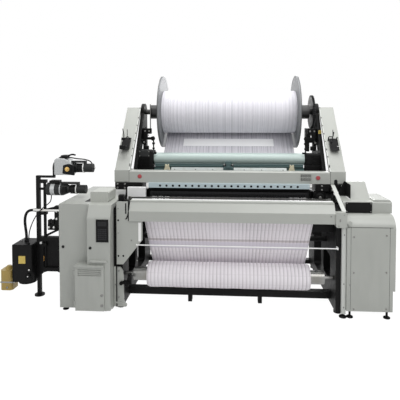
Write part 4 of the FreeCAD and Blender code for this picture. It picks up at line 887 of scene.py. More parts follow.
@dataclass
class CadFinishes:
    """Finish of each CAD node that shows as it is."""

    table: dict[Finish, tuple[str, ...]] = field(default_factory=lambda: {
        GREY_PAINT: ("left_upright_cover", "right_upright_cover", "corner_blocks", "cross_cover",
                     "breast_cover", "inner_shield", "left_cabinet", "cabinet_door", "right_cabinet",
                     "rapier_housing", "operator_terminal", "breast_bracket"),
        BLACK_CAST: ("left_side_frame", "right_side_frame", "beam_stands", "roller_housings", "cross_beams",
                     "sley", "heald_guides", "feeder_stand", "valve_box", "side_casting", "breast_beam",
                     "levelling_feet"),
        # The heald frames take this dark paint as painted shade: they stand in the shadowed shed.
        DARK_PAINT: ("letoff_gearbox", "lower_feeder", "upper_feeder", "heald_frame_1", "heald_frame_2",
                     "heald_frame_3"),
        BLACK_PLASTIC: ("switch_boxes", "control_plate", "upper_feeder_drum", "lower_feeder_drum"),
        BLUE_PAINT: ("perforated_rail",),
        TEAL_PAINT: ("roller_tray",),
        # The reed takes this dark steel as painted shade: it stands in the shadowed shed.
        GEAR_STEEL: ("letoff_pinion", "pile_beam_gear", "reed"),
        STEEL: ("cloth_roller", "backrest_roller", "temple_bar"),
        BRIGHT: ("left_rapier", "right_rapier", "feed_pipe"),
        WHITE_PAINT: ("guard_rod",),
        ROLLER_RUBBER: ("takeup_roller",),
        GREEN_ROLLER: ("guide_roller",),
        BEAM_METAL: ("pile_beam", "ground_beam"),
        BOX_PAINT_AND_HIGHLIGHT: ("junction_boxes",),
        OCHRE: ("oil_tank",),
    })

    def dress(self) -> None:
        """Put each finish on its nodes."""
        for finish, names in self.table.items():
            for name in names:
                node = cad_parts[name]
                node.data.materials.clear()
                node.data.materials.append(finish.material())
        LOG.info("finishes on %d CAD nodes", sum(len(names) for names in self.table.values()))


# ---------------------------------------------------------------- yarn and cloth


@dataclass(frozen=True)
class Roller:
    """A roller that a sheet passes, or with no radius a place where the sheet ends.

    Attributes:
        y: Place of its axis back from the front.
        z: Height of its axis.
        radius: Its radius.
        side: 1 where it lies left of the run, as seen from the loom's right end, and -1 where right.
    """

    y: float
    z: float
    radius: float = 0.0
    side: int = 1


def tangent(first: Roller, second: Roller, offset: float) -> Array:
    """Ends of the straight run that touches two rollers.

    Formula: with the gap g between the axes, the run turns from g by asin((s2 r2 - s1 r1) / |g|), and each
    end stands off its axis by the radius, square to the run.

    Args:
        first: Roller that the run leaves.
        second: Roller that it reaches.
        offset: Distance of the sheet's middle from a roller's face.

    Returns:
        The two ends as (y, z) rows.
    """
    gap = np.array((second.y - first.y, second.z - first.z))
    reach = [roller.side * (roller.radius + offset if roller.radius else 0.0) for roller in (first, second)]
    angle = math.atan2(gap[1], gap[0]) - math.asin((reach[1] - reach[0]) / float(np.linalg.norm(gap)))
    normal = np.array((-math.sin(angle), math.cos(angle)))
    return np.array([(first.y, first.z) - normal * reach[0], (second.y, second.z) - normal * reach[1]])


def sheet_path(rollers: Sequence[Roller], offset: float) -> Array:
    """Middle line of a taut sheet: straight runs, and an arc round each roller on the way.

    Args:
        rollers: Rollers in the order that the sheet passes them.
        offset: Distance of the sheet's middle from a roller's face.

    Returns:
        The (y, z) rows, evenly spaced.
    """
    step, arc_points, least_gap = 0.012, 25, 1e-7
    runs = [tangent(first, second, offset) for first, second in zip(rollers, rollers[1:])]
    pieces = [runs[0]]
    for roller, before, after in zip(rollers[1:], runs, runs[1:]):
        middle = np.array((roller.y, roller.z))
        start, end = (math.atan2(*(point - middle)[::-1]) for point in (before[1], after[0]))
        turn = (end - start) % math.tau if roller.side > 0 else -((start - end) % math.tau)
        angle = start + np.linspace(0, turn, arc_points)
        pieces.append(middle + (roller.radius + offset) * np.stack([np.cos(angle), np.sin(angle)], axis=1))
        pieces.append(after)
    line = np.concatenate(pieces)
    line = line[np.concatenate([[True], np.linalg.norm(np.diff(line, axis=0), axis=1) > least_gap])]
    return evenly(line, max(2, round(distances(line)[-1] / step)))


def corners_of(made: Piece) -> Array:
    """Number of the point at each corner of each face.

    Args:
        made: The piece.

    Returns:
        The numbers, face by face.
    """
    corners = np.zeros(len(made.data.loops), int)
    made.data.loops.foreach_get("vertex_index", corners)
    return corners


def lay_cloth(made: Piece, across: Array, along: Array) -> None:
    """Give a piece the UV map "cloth" from each face corner's place across and along it, in metres."""
    layer = made.data.uv_layers.new(name="cloth")
    layer.data.foreach_set("uv", np.stack([across, along], axis=1).reshape(-1))


def uneven(seed: int, count: int, waves: Sequence[int], low: float, high: float) -> Array:
    """Small differences of a roll's radius along its length.

    Formula: the sum over the waves of height * sin(tau * (wave * u + phase)), with u from 0 to 1.

    Args:
        seed: Seed of the heights and phases.
        count: Number of places along the roll.
        waves: How often each wave repeats.
        low: Least height of a wave.
        high: Greatest height of a wave.

    Returns:
        The difference at each place.
    """
    chance = np.random.default_rng(seed)
    share = np.linspace(0, 1, count)
    return sum(chance.uniform(low, high) * np.sin(math.tau * (wave * share + chance.uniform(0, 1)))
               for wave in waves)


def ribbon(name: str, path: Array, half_width: Array, thick: float, columns: int,
           ripple: Callable[[Array, Array], Array]) -> Piece:
    """A sheet along a path across the loom, with both faces and closed edges.

    Formula: point (i, j) = path(i) +- normal(i) * (thick / 2) + normal(i) * ripple(x, v), at
    x = u * half_width(i), with u from -1 to 1 and v the run along the path. The far face turns the rows
    round, and the edges join both.

    Args:
        name: Name of the piece.
        path: (y, z) rows of its middle line.
        half_width: Half width at each row.
        thick: Thickness.
        columns: Points across.
        ripple: Height of the surface at (x, v).

    Returns:
        The object, with a UV map "cloth" of x and v in metres.
    """
    ahead = np.gradient(path, axis=0)
    ahead /= np.linalg.norm(ahead, axis=1)[:, None]
    normal = np.stack([-ahead[:, 1], ahead[:, 0]], axis=1)
    run = distances(path)
    share = np.linspace(-1, 1, columns)
    flat_x = np.broadcast_to(share * half_width.mean(), (len(path), columns))
    lift = ripple(flat_x, np.broadcast_to(run[:, None], flat_x.shape))
    layers = []
    for sign in (0.5, -0.5):
        level = (path[:, None] + normal[:, None] * (sign * thick + lift)[..., None])
        layers.append(np.concatenate([(share * half_width[:, None])[..., None], level], axis=2))
    around = np.concatenate([layers[0], layers[1][:, ::-1]], axis=1)
    rows, count = len(path), 2 * columns
    faces = ring_faces(rows, count)
    low = np.arange(columns - 1)
    ends = [np.stack([low + 1, low, count - 1 - low, count - 2 - low], axis=1),
            np.stack([low, low + 1, count - 2 - low, count - 1 - low], axis=1) + (rows - 1) * count]
    made = link_mesh(name, around, np.concatenate([faces, *ends]).tolist())
    corners = corners_of(made)
    across = np.concatenate([flat_x, flat_x[:, ::-1]], axis=1).reshape(-1)
    lay_cloth(made, across[corners], np.repeat(run, count)[corners])
    return made


def wound_roll(name: str, centre: Spot, inner: float, outer: Array, half: float,
               pitch: float = 0.0) -> Piece:
    """A roll of yarn or cloth on a barrel: outer turns, flat ends and a bore.

    Formula: point (x, a) = centre + r(x) * (cos a, sin a), with r the outer radius at x; the end rings join
    it to the bore of the inner radius. Its UV is x and pitch + outer radius * a, the way round.

    Args:
        name: Name of the piece.
        centre: (y, z) of the axis.
        inner: Radius of the bore.
        outer: Outer radius at evenly spaced x from -half to half.
        half: Half the roll's length.
        pitch: Added to the way round.

    Returns:
        The object, with a UV map "cloth".
    """
    sides = 96
    x = np.linspace(-half, half, len(outer))
    spots = np.concatenate([[-half], x, [half], [0.0]])
    radii = np.concatenate([[inner], outer, [inner], [inner]])
    angle = np.arange(sides) * math.tau / sides
    spokes = np.stack([np.cos(angle), np.sin(angle)], axis=1)
    flat = np.array(centre) + spokes[None] * radii[:, None, None]
    points = np.concatenate([np.broadcast_to(spots[:, None, None], flat.shape[:2] + (1,)), flat], axis=2)
    rows, first = len(spots), np.arange(sides)
    after, last = np.roll(first, -1), (rows - 1) * sides
    close = np.stack([first + last, after + last, after, first], axis=1)
    made = link_mesh(name, points, np.concatenate([ring_faces(rows, sides), close]).tolist())
    crease(made, ROUND_CREASE)
    around = pitch + float(outer.mean()) * np.stack([angle, angle + math.tau / sides], axis=1)
    start, end = around[np.tile(first, rows)].T
    lay_cloth(made, points.reshape(-1, 3)[corners_of(made), 0],
              np.stack([start, end, end, start], axis=1).reshape(-1))
    return made


@dataclass
class WarpBeam:
    """Yarn of one warp beam: the roll between its flanges and the sheet that leaves it.

    Attributes:
        roll_name: Name of the roll's piece.
        roll_node: CAD node that the roll stands for.
        sheet_node: CAD node that the sheet stands for.
        body: CAD body of the beam.
        path: Rollers from the roll to the healds.
        seed: Seed of the roll's uneven build.
        barrel: Radius of the barrel.
        half: Half the distance between the flanges.
        sheet_half: Half the sheet's width.
        sheet_thick: Its thickness.
        under: How far the roll's mean radius stays below the first roller's.
        shoulder: How much lower its outermost turns lie beside the flanges.
    """

    roll_name: str
    roll_node: str
    sheet_node: str
    body: str
    path: tuple[Roller, ...]
    seed: int
    barrel: float = 0.1103
    half: float = 0.8947
    sheet_half: float = 0.87
    sheet_thick: float = 0.002
    under: float = 0.0022
    shoulder: float = 0.004

    def build(self) -> None:
        """Make the roll with the uneven build of its bands, and the sheet of parallel ends."""
        first = self.path[0]
        radius = first.radius - self.under + uneven(self.seed, 240, (13, 29, 47, 71, 93), 0.0002, 0.0009)
        radius[[0, -1]] -= self.shoulder
        roll = wound_roll(self.roll_name, (first.y, first.z), self.barrel, radius, self.half)
        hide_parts(self.roll_node)
        seat(roll, PILE_YARN, self.body)
        path = sheet_path(self.path, SHEET_OFFSET)
        half = np.full(len(path), self.sheet_half)
        made = ribbon(self.roll_name + "_sheet", path, half, self.sheet_thick, 140, lambda x, v: 0 * x)
        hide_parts(self.sheet_node)
        # The sheet takes the darker yarn: painted shade.
        seat(made, SHADED_YARN_SHEET)


@dataclass
class ClothRun:
    """Woven cloth from the fell over the take-up roller and down behind its roll, as in the photograph.

    Attributes:
        fell: Where the cloth starts.
        takeup: The take-up roller.
        roll: The wound cloth.
        half: Half the cloth's width at the fell.
        drawn_in: Half its width where it has drawn in.
        roll_half: Half the roll's length.
        bore: Radius of the roll's bore.
        thick: Thickness of the cloth.
        offset: Distance of its middle from a roller's face.
        draw_z: Height from which it draws in, and the fall over which it does.
        under: How far the roll's mean radius stays below its own.
    """

    fell: Roller = Roller(0.372, 1.154)
    takeup: Roller = Roller(0.130, 1.080, 0.070, 1)
    roll: Roller = Roller(0.200, 0.370, 0.143, -1)
    half: float = 0.925
    drawn_in: float = 0.868
    roll_half: float = 0.9
    bore: float = 0.0755
    thick: float = 0.0022
    offset: float = 0.0015
    draw_z: Pair = (1.05, 0.62)
    under: float = 0.0025

    def build(self) -> None:
        """Make the sheet, which draws in on its way down, and the roll with slightly telescoped turns."""
        path = sheet_path((self.fell, self.takeup, self.roll), self.offset)
        drop = np.clip((self.draw_z[0] - path[:, 1]) / self.draw_z[1], 0, 1)
        half = self.half + (self.drawn_in - self.half) * drop

        def ripple(x: Array, v: Array) -> Array:
            """Slack selvedges and a faint drift: waves over the outer 0.1 m, only between the rollers.

            Formula: free * (0.0035 * edge * sin 21 v + 0.0007 * sin (9 x + 3 sin 5 v)), where edge grows from
            0 to 1 outwards and free fades to 0 at both rollers.

            Args:
                x: Place across the cloth.
                v: Place along it.

            Returns:
                The height over the taut cloth.
            """
            edge = np.clip((np.abs(x) - self.half + 0.1) / 0.1, 0, 1) ** 2
            free = np.clip((v - 0.36) / 0.2, 0, 1) * np.clip((0.98 - v) / 0.2, 0, 1)
            return free * (0.0035 * edge * np.sin(v * 21) + 0.0007 * np.sin(x * 9 + 3 * np.sin(v * 5)))

        made = ribbon("cloth_web", path, half, self.thick, 120, ripple)
        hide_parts("cloth_sheet")
        seat(made, TOWEL)
        radius = self.roll.radius - self.under + uneven(11, 160, (2, 5, 9, 22), 0.0003, 0.001)
        fall = 0.003 * np.linspace(2, 0, 5) ** 2
        radius[:5] -= fall
        radius[-5:] -= fall[::-1]
        roll = wound_roll("cloth_on_roll", (self.roll.y, self.roll.z), self.bore, radius, self.roll_half,
                          pitch=0.05)
        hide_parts("cloth_roll")
        seat(roll, TOWEL, "cloth_roller_body")


# ---------------------------------------------------------------- cords


@dataclass
class Cord:
    """A free cord on one smooth curve; its collar where it leaves is made with the feeder unit's fittings.

    Attributes:
        name: Name of the piece.
        node: CAD node that it stands for.
        points: Its route in metres.
        radius: Its radius.
        length: Its real length; not used.
        finish: Its finish.
        stiffness: limp, medium or stiff; not used.
    """

    name: str
    node: str
    points: tuple[Point, ...]
    radius: float
    length: float
    finish: Finish
    stiffness: str

    def build(self) -> None:
        curve = bpy.data.curves.new(self.name, "CURVE")
        curve.dimensions = "3D"
        curve.bevel_depth = self.radius
        curve.bevel_resolution = 5
        curve.use_fill_caps = True
        spline = curve.splines.new("NURBS")
        spline.points.add(len(self.points) - 1)
        for spot, point in zip(spline.points, np.array(self.points) + SHIFT):
            spot.co = (*point, 1.0)
        spline.order_u = 3
        spline.use_endpoint_u = True
        spline.resolution_u = 10
        made = bpy.data.objects.new(self.name, curve)
        bpy.context.collection.objects.link(made)
        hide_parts(self.node)
        seat(made, self.finish)


SUCTION_HOSE = Cord("hose", "suction_hose", (
    (-2.312, 0.361, 1.040), (-2.358, 0.361, 1.040), (-2.402, 0.367, 1.010), (-2.428, 0.380, 0.958),
    (-2.440, 0.392, 0.892), (-2.436, 0.399, 0.815), (-2.425, 0.400, 0.735), (-2.425, 0.400, 0.640)),
    0.016, 0.477, HOSE_RUBBER, "medium")
SIGNAL_CABLE = Cord("feeder_cable", "signal_cable", (
    (-2.350, 0.300, 0.640), (-2.350, 0.300, 0.705), (-2.343, 0.302, 0.790), (-2.320, 0.309, 0.872),
    (-2.286, 0.318, 0.950), (-2.240, 0.328, 1.020), (-2.192, 0.348, 1.076), (-2.142, 0.374, 1.112),
    (-2.112, 0.400, 1.150), (-2.112, 0.400, 1.2137)),
    0.006, 0.663, CABLE_RUBBER, "medium")


# ---------------------------------------------------------------- camera, lamps and floor


@dataclass(frozen=True)
class Lamp:
    """A square soft lamp.

    Attributes:
        name: Its name.
        place: Where it hangs.
        aim: Point that it faces.
        size: Its side.
        power: Its power in watts.
    """

    name: str
    place: Point
    aim: Point
    size: float
    power: float

    def hang(self) -> None:
        """Make the lamp at its place, turned to its aim."""
        data = bpy.data.lights.new(self.name, "AREA")
        data.shape, data.size, data.energy = "SQUARE", self.size, self.power
        made = bpy.data.objects.new(self.name, data)
        back = np.array(self.place) - np.array(self.aim)
        back /= np.linalg.norm(back)
        made.location = np.array(self.place) + SHIFT
        made.rotation_euler = (math.acos(back[2]), 0.0, math.atan2(back[1], back[0]) + math.pi / 2)
        bpy.context.collection.objects.link(made)


@dataclass
class Studio:
    """Camera at the photograph's angle, soft lamps and a white floor.

    Attributes:
        eye: Place of the camera.
        turn: Degrees that it is turned left.
        tilt: Degrees that it looks down.
        lens: Focal length in millimetres on a 36 mm sensor.
        shift: Shift of the picture across and up.
        lamps: The soft lamps.
        sky: Colour of the even light.
        sky_strength: Its strength.
        floor_half: Half the floor's side.
        floor_grey: Linear grey of the floor.
        floor_share: Share of glow in what camera and gloss see of the floor; the rest keeps the shadow.
        floor_glow: Strength of that glow.
    """

    eye: Point = (0.04, -4.52, 2.17)
    turn: float = 3.6
    tilt: float = 2.0
    lens: float = 38.16
    shift: Pair = (-0.0125, -0.175)
    lamps: tuple[Lamp, ...] = (
        Lamp("key", (2.6, -3.6, 5.6), (0.1, 0.6, 1.2), 4.0, 175.0),
        Lamp("fill", (-4.2, -4.0, 3.4), (-0.4, 0.4, 1.1), 3.5, 40.0),
        Lamp("top", (0.0, 0.7, 6.2), (0.0, 0.9, 1.5), 4.5, 245.0),
        Lamp("rear", (1.5, 7.0, 4.0), (0.0, 1.0, 1.2), 4.0, 170.0))
    sky: Linear = (0.95, 0.97, 1.0, 1.0)
    sky_strength: float = 0.27
    floor_half: float = 40.0
    floor_grey: float = 0.8
    floor_share: float = 0.88
    floor_glow: float = 1.12

    def camera(self) -> None:
        """Place the camera."""
        data = bpy.data.cameras.new("camera")
        data.lens, data.sensor_width = self.lens, 36.0
        data.shift_x, data.shift_y = self.shift
        data.clip_end = 100.0
        made = bpy.data.objects.new("camera", data)
        made.location = np.array(self.eye) + SHIFT
        made.rotation_euler = (math.radians(90 - self.tilt), 0.0, math.radians(self.turn))
        bpy.context.collection.objects.link(made)
        bpy.context.scene.camera = made

    def world(self) -> None:
        """Even grey-white light, seen as white by camera, gloss and glass."""
        world = bpy.data.worlds.new("studio")
        tree = Tree(world)
        path = tree.node("LightPath")
        seen = path.outputs["Is Camera Ray"]
        for ray in ("Is Transmission Ray", "Is Glossy Ray"):
            seen = tree.math("MAXIMUM", seen, path.outputs[ray])
        plain = tree.node("Background", self.sky, self.sky_strength)
        white = tree.node("Background", WHITE_LIGHT)
        both = tree.node("MixShader", seen, plain.outputs[0], white.outputs[0])
        tree.node("OutputWorld", both.outputs[0])
        bpy.context.scene.world = world

    def floor(self) -> None:
        """White floor that keeps a faint shadow for the camera."""
        half = self.floor_half
        made = link_mesh("floor", np.array([(x, y, 0) for x, y in rectangle((-half, -half), (half, half))]),
                         [(0, 1, 2, 3)], smooth=False)
        nodes = Nodes("floor")
        nodes.give("Base Color", (self.floor_grey, self.floor_grey, self.floor_grey, 1.0))
        nodes.give("Roughness", 0.9)
        path = nodes.node("LightPath")
        seen = nodes.math("MAXIMUM", path.outputs["Is Camera Ray"], path.outputs["Is Glossy Ray"])
        glow = nodes.node("Emission", WHITE_LIGHT, self.floor_glow)
        share = nodes.math("MULTIPLY", seen, self.floor_share)
        both = nodes.node("MixShader", share, nodes.shader.outputs[0], glow.outputs[0])
        nodes.put(nodes.output.inputs[0], both.outputs[0])
        made.data.materials.append(nodes.material)

    def build(self) -> None:
        """Set the camera, the lamps, the world and the floor."""
        bpy.context.scene.view_settings.view_transform = "Standard"
        self.camera()
        for lamp in self.lamps:
            lamp.hang()
        self.world()
        self.floor()


# ---------------------------------------------------------------- fittings that the sub-assemblies share


def stud(centre: Point, axis: Point, radius: float) -> Piece:
    """A cap screw's head with its socket.

    Formula: profile (0, r), (0.6 r, r), (0.8 r, 0.8 r), then in at 0.45 r down to a floor at 0.35 r.

    Args:
        centre: Middle of the head's underside.
        axis: Direction that it points.
        radius: The head's radius.

    Returns:
        The object.
    """
    r = radius
    return turned(centre, axis, ((0, r), (0.6 * r, r), (0.8 * r, 0.8 * r), (0.8 * r, 0.45 * r),
                                 (0.35 * r, 0.4 * r), (0.35 * r, 0.01 * r)), 16)


def studs(places: Sequence[Point], axis: Point, radius: float) -> list[Piece]:
    """Cap screws of one size, one at each place."""
    return [stud(place, axis, radius) for place in places]


def button(centre: Point, axis: Point, radius: float, height: float) -> Piece:
    """A round boss with a rolled edge and a slightly crowned face.

    Formula: at (0.6 + 0.4 sin a) h its radius is r - 0.4 h (1 - cos a) for a over a quarter turn, and closes
    at 1.04 h.

    Args:
        centre: Middle of its underside.
        axis: Direction that it points.
        radius: Its radius.
        height: Its height.

    Returns:
        The object.
    """
    edge = [(0.6 * height + 0.4 * height * math.sin(a), radius - 0.4 * height * (1 - math.cos(a)))
            for a in np.linspace(0, math.pi / 2, 5)]
    return turned(centre, axis, [(0, radius), *edge, (height * 1.04, radius * 0.02)], 28)


def ribbed_drum(centre: Point, axis: Point, radius: float, length: float, ribs: int) -> Piece:
    """A drum with cooling ribs round it.

    Formula: for each rib the radius is r over half its pitch and 0.86 r over the rest, and 0.8 r at the ends.

    Args:
        centre: Middle of its first end.
        axis: Direction of its length.
        radius: Its outer radius.
        length: Its length.
        ribs: Number of ribs.

    Returns:
        The object.
    """
    pitch = length / ribs
    profile = [(0.0, 0.8 * radius)]
    for start in pitch * np.arange(ribs):
        profile += [(start + 0.08 * pitch, 0.86 * radius), (start + 0.2 * pitch, radius),
                    (start + 0.6 * pitch, radius), (start + 0.72 * pitch, 0.86 * radius)]
    return turned(centre, axis, [*profile, (length, 0.8 * radius)], 28)


def bent(points: Sequence[Point], radius: float) -> Piece:
    """A round bar bent smoothly through the given points."""
    return bent_rod(smooth_path(points), radius)


def span(side: int, near: float, far: float) -> Pair:
    """Two distances from the loom's middle as x on one side, -1 for left and 1 for right, in order."""
    return min(side * near, side * far), max(side * near, side * far)


def fit(name: str, finish: Finish, parts: Sequence[Piece], body: str = "frame") -> None:
    """Join parts of one finish and seat them on a body."""
    seat(join(name, parts), finish, body)


# ---------------------------------------------------------------- covers and what is on them


@dataclass
class CoverTrim:
    """Bosses, grille, seams and the notch of the cross cover and its corner blocks.

    Attributes:
        front: y of the cross cover's front.
        boss_x: x of the left and of the right boss.
        boss_z: Height of the bosses.
        boss_radius: Their radius.
        grille: (x, z) of the grille's lower left corner and of its upper right one.
        slots: Slots in each of the grille's two rows.
        seam_x: x of the joints between cover and corner blocks.
        seam_z: z of the joints' lower and upper ends.
        notch: (x, z) of the middle of the round notch in the right corner block.
    """

    front: float = 0.55
    boss_x: Pair = (-1.074, 1.062)
    boss_z: float = 1.428
    boss_radius: float = 0.025
    grille: tuple[Spot, Spot] = ((0.856, 1.383), (0.986, 1.474))
    slots: int = 12
    seam_x: Pair = (-1.2055, 1.2055)
    seam_z: Pair = (1.357, 1.496)
    notch: Spot = (1.269, 1.392)

    def bosses(self) -> None:
        """Two plain red enamel bosses in steel rims."""
        r = self.boss_radius
        rim = ((0, r + 0.004), (0.003, r + 0.0035), (0.0045, r + 0.001), (0.0045, r - 0.001))
        places = [(x, self.front, self.boss_z) for x in self.boss_x]
        fit("cover_bosses", RED_ENAMEL, [button(place, FRONT, r, 0.006) for place in places])
        fit("cover_boss_rims", STEEL, [turned(place, FRONT, rim, 32) for place in places])

    def grille_plate(self) -> None:
        """A plate with two rows of upright slots, dark between its bars."""
        (x0, z0), (x1, z1) = self.grille
        y, edge, inset, row_pitch = self.front, 0.004, 0.006, 0.044
        fit("cover_grille_dark", BLACK_PLASTIC, [
            block((x0 + edge, y - 0.0012, z0 + edge), (x1 - edge, y + 0.002, z1 - edge), 0.0005)])
        pitch = (x1 - x0 - 2 * inset) / self.slots
        bars = [block((x0 + inset + pitch * (i + 0.55), y - 0.005, z0 + edge + row * row_pitch),
                      (x0 + inset + pitch * (i + 1), y, z0 + 0.042 + row * row_pitch), 0.0008)
                for i in range(self.slots) for row in range(2)]
        rails = [block((x0, y - 0.006, z - 0.003), (x1, y, z + 0.003), 0.001)
                 for z in (z0 + 0.002, (z0 + z1) / 2, z1 - 0.002)]
        sides = [block((x - 0.003, y - 0.006, z0), (x + 0.003, y, z1), 0.001) for x in (x0, x1)]
        fit("cover_grille", GREY_PAINT, bars + rails + sides)

    def seams(self) -> None:
        """Dark joints beside the corner blocks, and the notch in the right one with its slot below."""
        y, (low, high) = self.front, self.seam_z
        joints = [block((x - 0.0018, y - 0.0006, low), (x + 0.0018, y + 0.01, high), 0.0003)
                  for x in self.seam_x]
        middle, level = self.notch
        upper = [(x, z) for x, z in oval(self.notch, 0.04, 0.036, 20) if z >= level]
        outline = sorted(upper, reverse=True) + [(middle - 0.02, level - 0.04), (middle + 0.02, level - 0.04)]
        fit("cover_joints", BLACK_PLASTIC, [*joints, slab(outline, "Y", y - 0.0012, 0.006, 0.0005)])

    def build(self) -> None:
        """Make the bosses, the grille and the joints."""
        self.bosses()
        self.grille_plate()
        self.seams()


@dataclass
class UprightTrim:
    """Flanges with slots inside the slanted covers, and the levers and prongs of the switch boxes.

    Attributes:
        inner: x of the covers' inner faces.
        foot: (y, z) of the covers' front edge at its foot.
        head: (y, z) of the covers' front edge at its head.
        flange_z: z of the flanges' lower and upper ends.
        slots: Heights of the slots' middles, with their lengths.
    """

    inner: float = 1.212
    foot: Spot = (0.55, 1.50)
    head: Spot = (1.20, 2.275)
    flange_z: Pair = (1.502, 2.262)
    slots: tuple[Pair, ...] = (
        (1.545, 0.07), (1.66, 0.03), (1.742, 0.032), (1.84, 0.026), (1.93, 0.03), (2.03, 0.03), (2.13, 0.03))

    def front_y(self, z: float) -> float:
        """y of the covers' front at a height: foot + (z - foot z) * slope."""
        slope = (self.head[0] - self.foot[0]) / (self.head[1] - self.foot[1])
        return self.foot[0] + (z - self.foot[1]) * slope

    def flanges(self, side: int) -> None:
        """A narrow turned-in flange along the cover's front edge and dark slots in the inner face.

        Args:
            side: -1 for the left cover and 1 for the right one.
        """
        gap, wall, width = 0.004, 0.003, 0.016
        x0, x1 = span(side, self.inner, self.inner - width)
        low, high = ((self.front_y(z) + gap, z) for z in self.flange_z)
        outline = [low, high, (high[0] + wall, high[1]), (low[0] + wall, low[1])]
        fit(f"{SIDES[side]}_cover_flange", COLUMN_PAINT, [slab(outline, "X", x0, x1 - x0, 0.0008)])
        middle = side * (self.inner - width / 2)
        fit(f"{SIDES[side]}_cover_slots", BLACK_PLASTIC, [
            slab(rectangle((middle - 0.004, z - tall / 2), (middle + 0.004, z + tall / 2)), "Y",
                 self.front_y(z) + 0.002, 0.006, 0.0008) for z, tall in self.slots])

    def levers(self) -> None:
        """The curved limit-switch lever at the left and the two forked feelers at the right."""
        fit("left_switch_lever", BLACK_PLASTIC, [
            bent(((-1.303, 0.685, 1.865), (-1.302, 0.69, 1.91), (-1.309, 0.70, 1.955), (-1.318, 0.71, 1.985),
                  (-1.322, 0.72, 2.0)), 0.006),
            bent(((-1.296, 0.69, 1.87), (-1.268, 0.71, 1.90), (-1.246, 0.72, 1.892), (-1.235, 0.73, 1.86)),
                 0.005),
            ribbed_drum((-1.303, 0.665, 1.862), UP, 0.026, 0.03, 3),
            block((-1.338, 0.60, 1.752), (-1.262, 0.672, 1.80), 0.006)])
        fit("right_switch_forks", BLACK_PLASTIC, [
            bent(((1.262, 0.69, 1.86), (1.262, 0.70, 1.90), (1.272, 0.71, 1.93), (1.279, 0.72, 1.965)),
                 0.006),
            bent(((1.308, 0.69, 1.86), (1.312, 0.70, 1.885), (1.316, 0.705, 1.905)), 0.007),
            bent(((1.262, 0.70, 1.905), (1.24, 0.71, 1.908), (1.222, 0.72, 1.905), (1.216, 0.73, 1.88),
                  (1.214, 0.73, 1.85)), 0.006),
            button((1.236, 0.66, 1.842), FRONT, 0.016, 0.012)])
        fit("right_switch_strip", WHITE_PAINT, [block((1.282, 0.563, 1.80), (1.31, 0.566, 1.805), 0.0004)])

    def build(self) -> None:
        """Make both sides' flanges and the switch boxes' levers."""
        for side in SIDES:
            self.flanges(side)
        self.levers()


# ---------------------------------------------------------------- the warp's brackets, roller drive and tray


